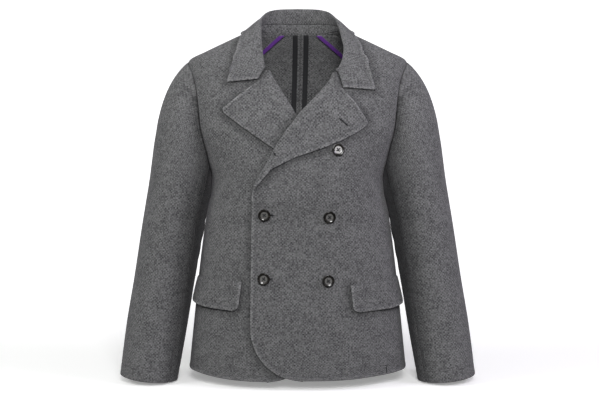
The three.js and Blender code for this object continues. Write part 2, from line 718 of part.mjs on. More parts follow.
// The face of the collar's fall: from the stand's seam up inside, over the fold and down outside.
function fallRow(s, notch, share) {
  const { neck, fold, edge, out, slope } = collarSection(s);
  const seam = neck.clone().lerp(fold, STAND_SHARE).addScaledVector(out, -WALL / 2);
  const up = fold.clone().sub(neck);
  const inside = [0, 0.45, 0.8].map((t) =>
    curve(seam, up.clone().multiplyScalar(0.75), fold, out.clone().multiplyScalar(9), t),
  );
  const reach = fold.distanceTo(edge);
  const leave = out.clone().multiplyScalar(reach * 0.42);
  const arrive = slope.clone().multiplyScalar(reach * 0.75);
  const steps = [0, 0.1, 0.25, 0.45, 0.7, 1];
  const outside = steps.map((t) => curve(fold, leave, edge, arrive, t));
  if (share > 0) {
    const corner = onTrunk(angleAt(notch.x, notch.z), notch.z, notch.lift);
    const legs = [fold, corner, edge];
    const first = fold.distanceTo(corner);
    const total = first + corner.distanceTo(edge);
    outside.forEach((p, k) => {
      const t = steps[k] * total;
      const leg = t < first ? 0 : 1;
      const local = leg === 0 ? t / first : (t - first) / (total - first);
      const straight = legs[leg].clone().lerp(legs[leg + 1], local);
      const place = angleAt(straight.x, straight.z);
      const lift = notch.lift + 2 * Math.sin(Math.PI * Math.min(1, t / first)) * (leg === 0);
      const laid = k === 0 ? fold : onTrunk(place, straight.z, lift);
      p.lerp(laid, share);
    });
  }
  outside.forEach((p, k) => {
    const lift = overlapOf(s.side, p) + WALL + COLLAR_LIFT;
    if (k > 0) clearOf(p, lift);
  });
  return { face: [...inside, ...outside], out };
}

const overlapOf = (side, p) => (side > 0 && p.y < 0 ? overLift(p.x, p.z) : 0);

// Rows of the fall on one side, the last two of them shaped to the notch.
function collarRows(table, notch, side) {
  const stations = collarStations(table, side);
  const last = stations.pop();
  const rows = stations.map((s) => fallRow(s, notch, 0));
  rows.push(fallRow(between(stations[stations.length - 1], last, 0.5), notch, 0.5));
  rows.push(fallRow(last, notch, 1));
  return rows.map((row) => ({
    face: row.face.map((p) => onSide(p, side)),
    out: onSide(row.out, side),
  }));
}

function collar() {
  const overNotch = { ...OVER_NOTCH, lift: overLift(OVER_NOTCH.x, OVER_NOTCH.z) + WALL + 1.2 };
  const underNotch = { ...UNDER_NOTCH, lift: WALL + 1.2 };
  const left = collarRows(OVER_COLLAR, overNotch, 1);
  const right = collarRows(UNDER_COLLAR, underNotch, -1);
  const rows = [...right.reverse(), ...left.slice(1)];
  const sheet = rows.map((row) => row.face);
  const normals = sheetNormals(sheet);
  const back = Math.floor(sheet.length / 2);
  if (normals[back][7].y < 0) normals.flat().forEach((n) => n.negate());
  rows.forEach((row, i) => normals[i][0].copy(row.out).negate());
  add("collar_fall", wallGeometry(sheet, moved(sheet, normals, -WALL)), WOOL);
  stand();
}

// The stand: a band from the neck seam to the fall's seam.
function stand() {
  const band = (table, side) =>
    collarStations(table, side)
      .slice(0, -1)
      .map((s) => {
        const { neck, fold, out } = collarSection(s);
        const up = fold.clone().sub(neck).normalize();
        const height = fold.distanceTo(neck) * STAND_SHARE;
        const low = neck.clone().addScaledVector(up, Math.min(WALL / 2 + 2 * SEAM, height / 2));
        const high = neck.clone().addScaledVector(up, height - 3 * SEAM);
        return { low: onSide(low, side), high: onSide(high, side), out: onSide(out, side) };
      });
  const rows = [...band(UNDER_COLLAR, -1).reverse(), ...band(OVER_COLLAR, 1).slice(1)];
  const offset = (r, distance) =>
    [r.low, r.high].map((p) => p.clone().addScaledVector(r.out, distance));
  const face = rows.map((r) => offset(r, -WALL / 2));
  const rear = rows.map((r) => offset(r, WALL / 2));
  add("collar_stand", wallGeometry(face, rear), WOOL);
}

// A pocket flap made from the front's own points, moved out, over a few of its columns.
function flap(name, front, panel, inner, depth) {
  const rows = trunkRows(front.hem);
  const level = (z) => rows.findIndex((r) => r.z === z);
  const first = level(FLAP.bottom);
  const last = level(FLAP.top);
  const columns = panel.sheet[first].length;
  const placeOf = (row, test) => {
    const j = row.findIndex((p, k) => k > 0 && test(p) >= 0);
    const a = test(row[j - 1]);
    return j - 1 + a / (a - test(row[j]));
  };
  const read = (points, i, j) => {
    const k = Math.min(Math.floor(j), columns - 2);
    return points[i][k].clone().lerp(points[i][k + 1], j - k);
  };
  const levels = [];
  for (let i = first; i <= last; i++) levels.push(i);
  const starts = levels.map((i) => placeOf(panel.sheet[i], (p) => p.x - inner));
  const ends = levels.map((i) => placeOf(panel.sheet[i], (p) => p.y + depth));
  const whole = [];
  const from = Math.ceil(Math.max(...starts) + 0.2);
  const to = Math.floor(Math.min(...ends) - 0.2);
  for (let j = from; j <= to; j++) whole.push(j);
  const sheets = [PLY, PLY + WALL].map((lift) =>
    levels.map((i, n) => {
      const share = (last - i) / (last - first);
      const corner = share === 1 ? 0.35 : 0;
      const places = [starts[n] + corner, ...whole, ends[n] - corner];
      return places.map((j, k) => {
        const loose = share * (k === places.length - 1 ? 3.5 : 1);
        const normal = read(panel.normals, i, j).normalize();
        return onSide(read(panel.sheet, i, j).addScaledVector(normal, lift + loose), front.side);
      });
    }),
  );
  add(name, wallGeometry(sheets[1], sheets[0]), WOOL);
}

function solidOf(geometry) {
  const bare = geometry.clone();
  bare.deleteAttribute("normal");
  bare.deleteAttribute("uv");
  const merged = mergeVertices(bare, 1e-4);
  return new wasm.Manifold(
    new wasm.Mesh({
      numProp: 3,
      vertProperties: merged.attributes.position.array,
      triVerts: new Uint32Array(merged.index.array),
    }),
  );
}

function geometryOf(solid) {
  const mesh = solid.getMesh();
  const geometry = new THREE.BufferGeometry();
  geometry.setAttribute("position", new THREE.Float32BufferAttribute(mesh.vertProperties, 3));
  geometry.setIndex([...mesh.triVerts]);
  return geometry;
}

// A dished button with a rim and four sewing holes, its back at height 0 facing -Z.
function buttonGeometry() {
  const b = BUTTON;
  const profile = [
    [0, 0],
    [b.radius - 1.2, 0],
    [b.radius, 1.6],
    [b.radius - 0.5, b.thickness - 0.4],
    [b.radius - b.rim / 2, b.thickness],
    [b.radius - b.rim, b.thickness - b.dish],
    [0, b.thickness - b.dish - 0.4],
  ].map(([x, y]) => new THREE.Vector2(x, y));
  const turned = new THREE.LatheGeometry(profile, 16).rotateX(Math.PI / 2);
  let solid = solidOf(turned);
  for (const k of [0, 1, 2, 3]) {
    const turn = (k + 0.5) * (Math.PI / 2);
    const drill = new THREE.CylinderGeometry(b.hole, b.hole, 4 * b.thickness, 5);
    drill.rotateX(Math.PI / 2);
    drill.translate(b.spread * Math.cos(turn), b.spread * Math.sin(turn), 0);
    solid = solid.subtract(solidOf(drill));
  }
  return geometryOf(solid);
}

function buttons() {
  const geometry = buttonGeometry();
  BUTTON_PLACES.forEach(({ x, z }, i) => {
    const reach = 0.7 * BUTTON.radius;
    const across = onPanel(overPanel, x + reach, z, 0).sub(onPanel(overPanel, x - reach, z, 0));
    const up = onPanel(overPanel, x, z + reach, 0).sub(onPanel(overPanel, x, z - reach, 0));
    const normal = across.cross(up).normalize();
    const mesh = add(`button_${i + 1}`, geometry.clone(), HORN);
    mesh.position.copy(onPanel(overPanel, x, z, 0).addScaledVector(normal, PLY));
    mesh.quaternion.setFromUnitVectors(point(0, 0, 1), normal);
  });
}

// A strip against the inside of the back, between two lines given as distances from the centre.
function innerStrip(name, levels, from, to, lift, thickness, columns, look) {
  const sheets = [lift, lift + thickness].map((depth) =>
    levels.map((z) =>
      range(columns).map((t) => {
        const x = mix(from(z), to(z), t);
        return onTrunk(angleAt(x, z, true), z, -WALL - depth);
      }),
    ),
  );
  add(name, wallGeometry(sheets[1], sheets[0]), look);
}

// The bound seam allowances, and the neck facings with the tape on their edge.
function backTrims() {
  const levels = trunkRows(BACK_TAPE.bottom)
    .map((r) => r.z)
    .filter((z) => z >= BACK_TAPE.bottom && z <= BACK_NECK - 4 && z !== -706);
  levels.push(BACK_NECK - 3);
  levels.sort((a, b) => a - b);
  const near = BACK_TAPE.apart / 2;
  for (const [word, side] of [
    ["left", 1],
    ["right", -1],
  ]) {
    innerStrip(
      `seam_tape_${word}`,
      levels,
      (z) => backSeam(z) + side * near,
      (z) => backSeam(z) + side * (near + BACK_TAPE.width),
      PLY,
      TAPE_WALL,
      1,
      BINDING,
    );
    const across = (z) => FACING.inner + (BACK_NECK - z) / FACING.slope + (side > 0 ? 6 : 0);
    const rows = [FACING.bottom, -72, -54, -40, -28, -20, BACK_NECK - 3];
    innerStrip(
      `neck_facing_${word}`,
      rows,
      (z) => side * across(z),
      (z) => side * Math.max(across(z) + 9, 0.76 * trunk.half(z)),
      FACING.lift,
      FACING.wall,
      5,
      WOOL,
    );
    innerStrip(
      `neck_tape_${word}`,
      rows,
      (z) => side * (across(z) - 1.5),
      (z) => side * (across(z) + FACING.tape),
      FACING.lift + FACING.wall + SEAM,
      TAPE_WALL,
      1,
      PURPLE,
    );
  }
}

const overPanel = frontPanel("front_left", OVER);
const underPanel = frontPanel("front_right", UNDER);
backPanel("back_left", 1);
backPanel("back_right", -1);
sleeves();
lapel("lapel_left", OVER, overPanel, 2.4);
lapel("lapel_right", UNDER, underPanel, 0.8);
collar();
flap("flap_left", OVER, overPanel, 109, 24);
flap("flap_right", UNDER, underPanel, 117, 24);
buttons();
backTrims();

export default coat;
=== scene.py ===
"""A double-breasted pea coat of heavy grey wool, filled out as on a wearer, in its studio.

Sizes are millimetres, as in the pattern; a mesh is turned to metres as it is made.
The front faces -Y, +Z is up and +X is the wearer's left.
"""

import logging
import math
from collections.abc import Callable, Iterable, Sequence
from dataclasses import dataclass, field
from enum import Enum
from typing import NamedTuple

import bpy
import numpy as np
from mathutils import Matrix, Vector, kdtree


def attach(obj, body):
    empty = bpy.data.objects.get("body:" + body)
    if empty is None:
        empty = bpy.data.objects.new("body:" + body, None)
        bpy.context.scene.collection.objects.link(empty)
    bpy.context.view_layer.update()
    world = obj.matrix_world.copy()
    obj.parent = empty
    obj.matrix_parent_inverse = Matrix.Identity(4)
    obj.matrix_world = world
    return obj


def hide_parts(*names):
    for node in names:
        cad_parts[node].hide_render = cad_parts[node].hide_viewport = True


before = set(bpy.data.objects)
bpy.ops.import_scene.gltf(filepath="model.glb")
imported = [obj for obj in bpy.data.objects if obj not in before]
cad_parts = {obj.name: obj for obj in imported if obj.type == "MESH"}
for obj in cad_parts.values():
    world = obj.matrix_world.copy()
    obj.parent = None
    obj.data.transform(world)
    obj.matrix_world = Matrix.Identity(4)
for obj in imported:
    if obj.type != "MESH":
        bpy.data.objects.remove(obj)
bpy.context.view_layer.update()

log = logging.getLogger("pea_coat")

Array = np.ndarray

MM = 0.001  # metres in a millimetre
BODY = "root"

WALL = 3.0  # heavy wool
SEAM = 0.4  # between two pieces sewn edge to edge
PLY = 0.7  # between a piece and the piece that it lies on
LAPEL_PLY = 1.3  # under a lapel, which springs a little
TAPE_WALL = 1.2
STITCH_INSET = 8.5  # of the topstitching from an edge

NECK_TOP = -6.0
BACK_NECK = -13.0

FAR = 1000.0  # distance from an edge or seam that a piece hasn't got


def table(kind: type, *rows: tuple) -> list:
    """A table of rows of one kind, whose fields have names."""
    return [kind(*row) for row in rows]


class Ring(NamedTuple):
    """A ring of the trunk: half its width, and its depth before and behind the side seam."""

    z: float
    half: float
    front: float
    back: float


TRUNK = table(
    Ring,
    (-722, 230.5, 123, 117), (-594, 216.8, 126, 118), (-465, 202, 128, 117), (-386, 190, 130, 120),
    (-342, 180.5, 131, 125), (-318, 179, 131, 127), (-275, 190.5, 128, 128), (-200, 216, 117, 123),
    (-120, 226.5, 92, 110), (-78, 229, 72, 98), (-70, 224, 68, 95), (-52, 189, 58, 88),
    (-33, 149, 48, 80), (-4, 86, 34, 68),
)


class SleeveRing(NamedTuple):
    """A ring of a sleeve: its outer and inner edge seen from the front, and its depth."""

    z: float
    outer: float
    inner: float
    front: float
    back: float


SLEEVE = table(
    SleeveRing,
    (-732, 373.5, 253, 87, 27), (-628, 360.5, 234.5, 78, 44), (-525, 343.5, 217.5, 74, 60),
    (-423, 327.5, 198, 75, 71), (-382, 320.5, 190.2, 75.5, 74), (-342, 313.5, 179.6, 76, 76),
)


class LapelRow(NamedTuple):
    """A level of a lapel: where its fold and its edge lie, from the centre to its own side."""

    z: float
    fold: float
    edge: float


OVER_LAPEL = table(
    LapelRow,
    (-101, 75, 79), (-131, 52, 88.5), (-163, 23.5, 115), (-183, 4.5, 129), (-199, -8, 139.5),
    (-206, -13.5, 135), (-218, -23, 116), (-234, -34, 86), (-249, -43.5, 50), (-268, -53.5, -6),
    (-284, -62, -38), (-292, -67, -53), (-298, -70.5, -57.5), (-311, -77.6, -68),
    (-324, -82.5, -79),
)
UNDER_LAPEL = table(
    LapelRow,
    (-98, 60, 65.5), (-115, 46, 76.5), (-143, 28, 115), (-171, 10, 149.5), (-179, 5.5, 147),
    (-211, -18, 104), (-247, -42, 51), (-283, -64, 0), (-316, -80, -50), (-334, -87, -74),
)


class NeckRow(NamedTuple):
    """A level of a front's neckline: how far its cut edge lies from the centre."""

    z: float
    edge: float


OVER_NECKLINE = table(
    NeckRow,
    (-98, 84), (-76, 99), (-58, 102), (-34, 99), (-14, 92.5), (-6, 88.6),
)
UNDER_NECKLINE = table(
    NeckRow,
    (-95, 73), (-76, 77), (-56, 80.5), (-34, 82.5), (-14, 86.5), (-6, 87.5),
)


class CollarRow(NamedTuple):
    """A section of the collar: its seam on the neck, the crown of its fold and its free edge."""

    neck_x: float
    neck_z: float
    fold_x: float
    fold_y: float
    fold_z: float
    edge_x: float
    edge_z: float
    behind: bool


OVER_COLLAR = table(
    CollarRow,
    (0, -13, 0, 66, 40, 0, -42, True), (38, -12, 36, 62, 39, 60, -42, True),
    (66, -10, 62, 45, 33, 100, -34, True), (83, -7, 76, 22, 20, 110, -20, True),
    (90, -6, 80, 10, 14, 113, -17.5, False), (87, -6, 83, -4, 6, 121, -29, False),
    (88, -14, 86, -20, -5, 130, -45, False), (95, -34, 90, -40, -25, 136.5, -64, False),
    (98, -58, 94, -56, -48, 143, -86, False), (95, -76, 91, -68, -69, 149.5, -109, False),
    (84, -96, 80, -85, -94, 154.5, -134, False),
)
UNDER_COLLAR = table(
    CollarRow,
    (38, -12, 36, 62, 39, 60, -42, True), (65, -10, 61, 45, 33, 98, -34, True),
    (81, -7, 73, 22, 20, 110, -20, True), (90, -6, 75, 10, 14, 113, -17.5, False),
    (84, -6, 75, -4, 6, 117.5, -29, False), (82, -15, 75, -20, -5, 122, -43, False),
    (78, -34, 74, -40, -25, 126.5, -60, False), (76, -56, 72, -56, -47, 131, -78, False),
    (73, -76, 69, -68, -69, 136, -99, False), (69, -93, 65.5, -82, -90, 140, -118.5, False),
)


class Crease(NamedTuple):
    """A soft trough, or a ridge where depth is negative, between two places on the cloth."""

    across: float
    along: float
    to_across: float
    to_along: float
    width: float
    depth: float


def unit(v: Array) -> Array:
    """Vectors made one long.

    Args:
        v: Vectors in the last axis.

    Returns:
        The same directions with a length of one.
    """
    return v / np.maximum(np.linalg.norm(v, axis=-1, keepdims=True), 1e-9)


def rise(t: Array | float) -> Array:
    """A smooth step from 0 to 1 as t goes from 0 to 1."""
    t = np.clip(t, 0, 1)
    return t * t * (3 - 2 * t)


def hump(x: Array | float, width: float) -> Array:
    """A smooth hump round 0 that has faded a width away."""
    return np.exp(-((np.asarray(x) / width) ** 2))


class SmoothLine:
    """A smooth line through the values that a table holds at its heights."""

    def __init__(self, at: Sequence[float], values: Sequence[float]) -> None:
        """Fits the line.

        Args:
            at: Heights, or other places, of the values.
            values: What the line passes through there.
        """
        order = np.argsort(at)
        self.at = np.asarray(at, float)[order]
        self.values = np.asarray(values, float)[order]
        steps = np.diff(self.values) / np.diff(self.at)
        below = np.concatenate([steps[:1], steps])
        above = np.concatenate([steps, steps[-1:]])
        same = below * above > 0
        total = np.where(same, below + above, 1)
        self.slopes = np.where(same, 2 * below * above / total, 0)

    def __call__(self, z: Array | float) -> Array:
        """The line's value at a height."""
        z = np.asarray(z, float)
        i = np.clip(np.searchsorted(self.at, z), 1, len(self.at) - 1)
        span = self.at[i] - self.at[i - 1]
        t = np.clip((z - self.at[i - 1]) / span, 0, 1)
        ease = t * t * (3 - 2 * t)
        leave = t * (1 - t) ** 2 * span * self.slopes[i - 1]
        arrive = t * t * (t - 1) * span * self.slopes[i]
        return self.values[i - 1] * (1 - ease) + self.values[i] * ease + leave + arrive


def column(table: Sequence[NamedTuple], name: str) -> SmoothLine:
    """A smooth line through one column of a table, read at a height."""
    return SmoothLine([row.z for row in table], [getattr(row, name) for row in table])


@dataclass
class Trunk:
    """The outer form of the coat's body, a stack of boxy rings."""

    rings: list[Ring] = field(default_factory=lambda: TRUNK)
    squareness: float = 2.4

    def __post_init__(self) -> None:
        """Fits the lines through the rings."""
        self.half = column(self.rings, "half")
        self.front = column(self.rings, "front")
        self.back = column(self.rings, "back")

    def place(self, angle: Array, z: Array) -> Array:
        """Points of the outside; angle 0 is the centre front, 90 degrees the wearer's left.

        Args:
            angle: Turn about the upright axis, in radians.
            z: Height.

        Returns:
            The points, in the last axis.
        """
        s, c, z = np.broadcast_arrays(np.sin(angle), np.cos(angle), np.asarray(z, float))
        power = self.squareness
        reach = (np.abs(s) ** power + np.abs(c) ** power) ** (-1 / power)
        depth = np.where(c > 0, self.front(z), self.back(z))
        return np.stack([self.half(z) * reach * s, -depth * reach * c, z], axis=-1)

    def normal(self, angle: Array, z: Array) -> Array:
        """The direction out of the trunk at an angle and a height.

        Args:
            angle: Turn about the upright axis.
            z: Height.

        Returns:
            The directions.
        """
        turn, step = 0.01, 1.5
        around = self.place(angle + turn, z) - self.place(angle - turn, z)
        up = self.place(angle, z + step) - self.place(angle, z - step)
        return unit(np.cross(around, up))

    def lifted(self, angle: Array, z: Array, lift: Array | float) -> Array:
        """Points that stand off the trunk by a lift, or lie inside where it is negative."""
        lift = np.asarray(lift, float)[..., None]
        return self.place(angle, z) + self.normal(angle, z) * lift

    def angle_at(self, x: Array, z: Array, behind: bool = False) -> Array:
        """The angle at which the trunk is x from the centre.

        Args:
            x: Distance from the centre, positive to the wearer's left.
            z: Height.
            behind: Whether the place lies on the back.

        Returns:
            The angle in radians.
        """
        share = np.minimum(np.abs(x) / self.half(z), 0.99999) ** self.squareness
        front = np.arctan((share / (1 - share)) ** (1 / self.squareness)) * np.sign(x)
        return math.pi - front if behind else front

    def angle_at_depth(self, depth: Array, z: Array, behind: bool) -> Array:
        """The angle at which the trunk lies a depth before or behind the side seam."""
        full = self.back(z) if behind else self.front(z)
        across = (1 - (depth / full) ** self.squareness) ** (1 / self.squareness)
        front = np.arctan2(across, depth / full)
        return math.pi - front if behind else front

    def clear(self, points: Array, need: Array, softness: float = 1.2) -> Array:
        """Moves points out where they lie nearer the trunk than they need.

        Args:
            points: Points in the last axis.
            need: Least height over the trunk, for each point.
            softness: How gradually the height settles on its least.

        Returns:
            The moved points.
        """
        x, y, z = points[..., 0], points[..., 1], np.minimum(points[..., 2], NECK_TOP)
        depth = -y / np.where(y < 0, self.front(z), self.back(z))
        angle = np.arctan2(x / self.half(z), depth)
        normal = self.normal(angle, z)
        height = np.sum((points - self.place(angle, z)) * normal, axis=-1)
        over = (height - need) / softness
        wanted = need + softness * np.where(over > 30, over, np.log1p(np.exp(np.minimum(over, 30))))
        share = rise((NECK_TOP + 3 - points[..., 2]) / 9)
        return points + normal * (share * np.maximum(wanted - height, 0))[..., None]


@dataclass
class Armhole:
    """The cut in the trunk's side that a sleeve is sewn into."""

    trunk: Trunk
    top: float = -74.0
    bottom: float = -318.0
    front: float = 55.0
    back: float = 62.0

    def __post_init__(self) -> None:
        """Works out its middle level, and how far it reaches up and down from there."""
        self.middle, self.reach = (self.top + self.bottom) / 2, (self.top - self.bottom) / 2

    def angle(self, turn: Array) -> Array:
        """The trunk's angle at a turn round the armhole, from its top through the front.

        Args:
            turn: The turn, in radians.

        Returns:
            The angle.
        """
        behind = np.sin(turn) < 0
        z = self.height(turn)
        full = np.where(behind, self.back, self.front)
        depth = np.maximum(full * np.abs(np.sin(turn)), SEAM / 2)
        ahead = self.trunk.angle_at_depth(depth, z, False)
        return np.where(behind, self.trunk.angle_at_depth(depth, z, True), ahead)

    def height(self, turn: Array) -> Array:
        """The height at a turn round the armhole."""
        return self.middle + self.reach * np.cos(turn)

    def edge(self, z: Array, behind: bool) -> Array:
        """The angle at which a trunk piece ends at a height: armhole, side or shoulder seam.

        Args:
            z: Height.
            behind: Whether the piece is a back.

        Returns:
            The angle.
        """
        turn = np.arccos(np.clip((z - self.middle) / self.reach, -1, 1))
        full = self.back if behind else self.front
        depth = np.maximum(full * np.sin(turn), SEAM / 2)
        return self.trunk.angle_at_depth(depth, z, behind)


class Side(Enum):
    """The wearer's sides; the value is the sign of X there."""

    LEFT = 1
    RIGHT = -1


def on_side(points: Array, side: Side) -> Array:
    """Points worked out for the wearer's left, on the side given."""
    return points * np.array([side.value, 1, 1])


class Rim(Enum):
    """The four rims of a sheet's grid."""

    FIRST_COLUMN = "first_column"
    LAST_COLUMN = "last_column"
    FIRST_ROW = "first_row"
    LAST_ROW = "last_row"


class Hold(Enum):
    """How a piece of cloth is held."""

    HUNG = "hung"
    FOLDED = "folded"
    LAID = "laid"


@dataclass
class Sheet:
    """A piece of cloth, as a grid of points on its outer side."""

    face: Array
    uv: Array
    outward: Array
    seams: tuple[Rim, ...] = ()
    wall: float = WALL
    # edge feeds the wool's painted highlight and painted groove shade, seam its dark seam lines, under
    # its painted shadow
    edge: Array | None = None
    seam: Array | None = None
    under: Array | None = None

    def rim(self, which: Rim) -> Array:
        """The points of one rim, in order."""
        picks = {
            Rim.FIRST_COLUMN: self.face[:, 0],
            Rim.LAST_COLUMN: self.face[:, -1],
            Rim.FIRST_ROW: self.face[0],
            Rim.LAST_ROW: self.face[-1],
        }
        return picks[which]

    def normals(self) -> Array:
        """The directions out of the cloth, at every point."""
        along = np.gradient(self.face, axis=0)
        across = np.gradient(self.face, axis=1)
        normal = unit(np.cross(across, along))
        return -normal if np.sum(normal * self.outward) < 0 else normal

    def turned_to(self, side: Side) -> "Sheet":
        """The sheet, worked out for the wearer's left, on the side given."""
        self.face, self.outward = on_side(self.face, side), on_side(self.outward, side)
        return self

    def distance(self, lines: Iterable[Array]) -> Array:
        """How far each point lies from the nearest of some lines.

        Args:
            lines: Lines as rows of points.

        Returns:
            Distances in the grid's shape, far ones where there is no line.
        """
        marks = [finer(line, 0.8) for line in lines if len(line) > 1]
        if not marks:
            return np.full(self.face.shape[:2], FAR)
        spots = np.concatenate(marks)
        tree = kdtree.KDTree(len(spots))
        for i, spot in enumerate(spots):
            tree.insert(spot, i)
        tree.balance()
        flat = [tree.find(p)[2] for p in self.face.reshape(-1, 3).tolist()]
        return np.array(flat).reshape(self.face.shape[:2])

    def press(self, stitched: list[Array], sewn: list[Array], puff: float = 0.5) -> None:
        """Presses the topstitched edges and the seams into the cloth.

        Args:
            stitched: Edges that have topstitching along them.
            sewn: Edges that are sewn to another piece.
            puff: How far a stitched edge stands out between its stitches and its rim.
        """
        self.edge = self.distance(stitched)
        self.seam = self.distance(sewn)
        lip = rise(self.edge / 2.5) * rise((STITCH_INSET - self.edge) / 3.5)
        groove = hump(self.edge - STITCH_INSET, 1.3)
        valley = hump(self.seam, 2.4)
        depth = puff * lip - 0.35 * groove - 0.7 * valley
        self.face = self.face + self.normals() * depth[..., None]

    def crease(self, creases: Sequence[Crease]) -> None:
        """Presses soft troughs and ridges into the cloth, by their places on it.

        Args:
            creases: The troughs and ridges.
        """
        depth = np.zeros(self.face.shape[:2])
        for c in creases:
            start = np.array([c.across, c.along])
            run = np.array([c.to_across, c.to_along]) - start
            length = np.linalg.norm(run)
            rel = self.uv - start
            t = rel @ run / length**2
            off = (rel[..., 0] * run[1] - rel[..., 1] * run[0]) / length
            fade = np.sin(math.pi * np.clip(t, 0, 1)) ** 0.8
            depth += c.depth * fade * hump(off, c.width)
        self.face = self.face - self.normals() * depth[..., None]

    def size(self) -> tuple[float, float, float]:
        """The width and length of the flat piece in metres, and its area in square metres."""
        rows = np.linalg.norm(np.diff(self.face, axis=1), axis=-1).sum(axis=1)
        columns = np.linalg.norm(np.diff(self.face, axis=0), axis=-1).sum(axis=0)
        a, b = self.face[:-1, :-1], self.face[1:, :-1]
        c, d = self.face[1:, 1:], self.face[:-1, 1:]
        area = np.linalg.norm(np.cross(b - a, c - a), axis=-1).sum()
        area += np.linalg.norm(np.cross(c - a, d - a), axis=-1).sum()
        return rows.max() * MM, columns.max() * MM, area / 2 * MM * MM


def travelled(points: Array, axis: int = 0) -> Array:
    """How far each point lies from the first, along a line or along a grid's rows or columns.

    Args:
        points: Points in the last axis.
        axis: The axis to travel along.

    Returns:
        The distances.
    """
    steps = np.linalg.norm(np.diff(points, axis=axis), axis=-1)
    start = np.zeros_like(steps.take([0], axis=axis))
    return np.concatenate([start, np.cumsum(steps, axis=axis)], axis=axis)


def finer(line: Array, step: float) -> Array:
    """A line with points at most a step apart."""
    s = travelled(line)
    want = np.linspace(0, s[-1], max(2, int(s[-1] / step) + 1))
    return np.stack([np.interp(want, s, line[:, k]) for k in range(3)], axis=1)


def spread(total: float, near: Sequence[float], far: Sequence[float], count: int) -> Array:
    """Places along a row: fixed distances at both its ends, and even steps between them.

    Args:
        total: Length of the row.
        near: Distances from its start.
        far: Distances from its end, the farthest first.
        count: Steps between the two.

    Returns:
        Distances from the start.
    """
    share = min(1.0, 0.6 * total / (near[-1] + far[0]))
    head, tail = np.array(near) * share, total - np.array(far) * share
    middle = np.linspace(head[-1], tail[0], count + 1)[1:-1]
    return np.concatenate([head, middle, tail])


def linear(colour: str) -> tuple[float, float, float, float]:
    """An sRGB colour in hex as the linear one that a shader takes."""
    channels = [int(colour[i : i + 2], 16) / 255 for i in (1, 3, 5)]
    red, green, blue = (c / 12.92 if c <= 0.04045 else ((c + 0.055) / 1.055) ** 2.4 for c in channels)
    return red, green, blue, 1.0


Socket = bpy.types.NodeSocket
Settings = dict[str | int, object]
Links = dict[str | int, bpy.types.NodeSocket]


class ShaderTree:
    """A node tree, with the steps that several finishes share."""

    def __init__(self, tree: bpy.types.NodeTree) -> None:
        """Takes the tree that the nodes go into."""
        self.tree = tree

    def add(
        self,
        kind: str,
        settings: Settings | None = None,
        links: Links | None = None,
        output: str | int = 0,
    ) -> Socket:
        """Adds a node with its settings and what feeds it.

        Args:
            kind: The node's type name, without ShaderNode at its start.
            settings: Values of its properties and of its unlinked inputs.
            links: For each input, the output that feeds it.
            output: Which of its own outputs is wanted.

        Returns:
            That output.
        """
        node = self.tree.nodes.new(f"ShaderNode{kind}")
        for key, value in (settings or {}).items():
            if isinstance(key, str) and hasattr(node, key):
                setattr(node, key, value)
            else:
                node.inputs[key].default_value = value
        for key, source in (links or {}).items():
            self.tree.links.new(source, node.inputs[key])
        return node.outputs[output]

    def surface(self, settings: Settings, links: Links) -> None:
        """Ends the tree with a surface.

        Args:
            settings: The surface's values.
            links: For each input of the surface, the output that feeds it.
        """
        shader = self.add("BsdfPrincipled", settings, links)
        end = self.tree.nodes.new("ShaderNodeOutputMaterial")
        self.tree.links.new(shader, end.inputs["Surface"])

    def cloth_place(self) -> Socket:
        """Where a point lies on the flat cloth."""
        return self.add("UVMap", {"uv_map": "cloth"}, output="UV")

    def object_place(self) -> Socket:
        """Where a point lies in its object's own space."""
        return self.add("TexCoord", output="Object")

    def attribute(self, name: str) -> Socket:
        """A value that the mesh holds for each of its points."""
        return self.add("Attribute", {"attribute_name": name}, output="Fac")

    def noise(
        self, place: Socket, size: float, detail: float = 2.0, rough: float = 0.5, output: str = "Fac"
    ) -> Socket:
        """Soft irregular patches.

        Args:
            place: Where a point lies.
            size: Size of a patch in millimetres.
            detail: How many finer sizes lie over it.
            rough: How strong the finer ones are.
            output: Fac for one value, Color for three.

        Returns:
            The pattern.
        """
        settings = {"Scale": 1000 / size, "Detail": detail, "Roughness": rough}
        return self.add("TexNoise", settings, {"Vector": place}, output)

    def ramp(
        self, source: Socket, low: float, high: float, least: float, most: float, eased: bool = True
    ) -> Socket:
        """A value that goes from one level to another while its source crosses a span.

        Args:
            source: What it follows.
            low: Start of the source's span.
            high: End of that span.
            least: The value at the start.
            most: The value at the end.
            eased: Whether it leaves and arrives softly.

        Returns:
            The value.
        """
        kind = "SMOOTHSTEP" if eased else "LINEAR"
        settings = {"interpolation_type": kind, 1: low, 2: high, 3: least, 4: most}
        return self.add("MapRange", settings, {0: source})

    def blend(self, factor: Socket, first: str, second: str) -> Socket:
        """A colour between two that are given in hex."""
        settings = {"data_type": "RGBA", 6: linear(first), 7: linear(second)}
        return self.add("Mix", settings, {0: factor}, 2)

    def bump(self, height: Socket, strength: float, depth: float) -> Socket:
        """The surface's directions over a relief; its depth is in millimetres."""
        return self.add("Bump", {"Strength": strength, "Distance": depth * MM}, {"Height": height})


@dataclass(frozen=True)
class Finish:
    """A finish that builds its own material."""

    name: str

    def dress(self, tree: ShaderTree) -> tuple[Settings, Links]:
        """The surface's values and what feeds it; each finish has its own.

        Args:
            tree: The material's tree.

        Returns:
            Values of the surface's inputs, and the outputs that feed others.
        """
        raise NotImplementedError

    def build(self) -> bpy.types.Material:
        """The finished material."""
        material = bpy.data.materials.new(self.name)
        material.use_nodes = True
        material.node_tree.nodes.clear()
        tree = ShaderTree(material.node_tree)
        tree.surface(*self.dress(tree))
        return material


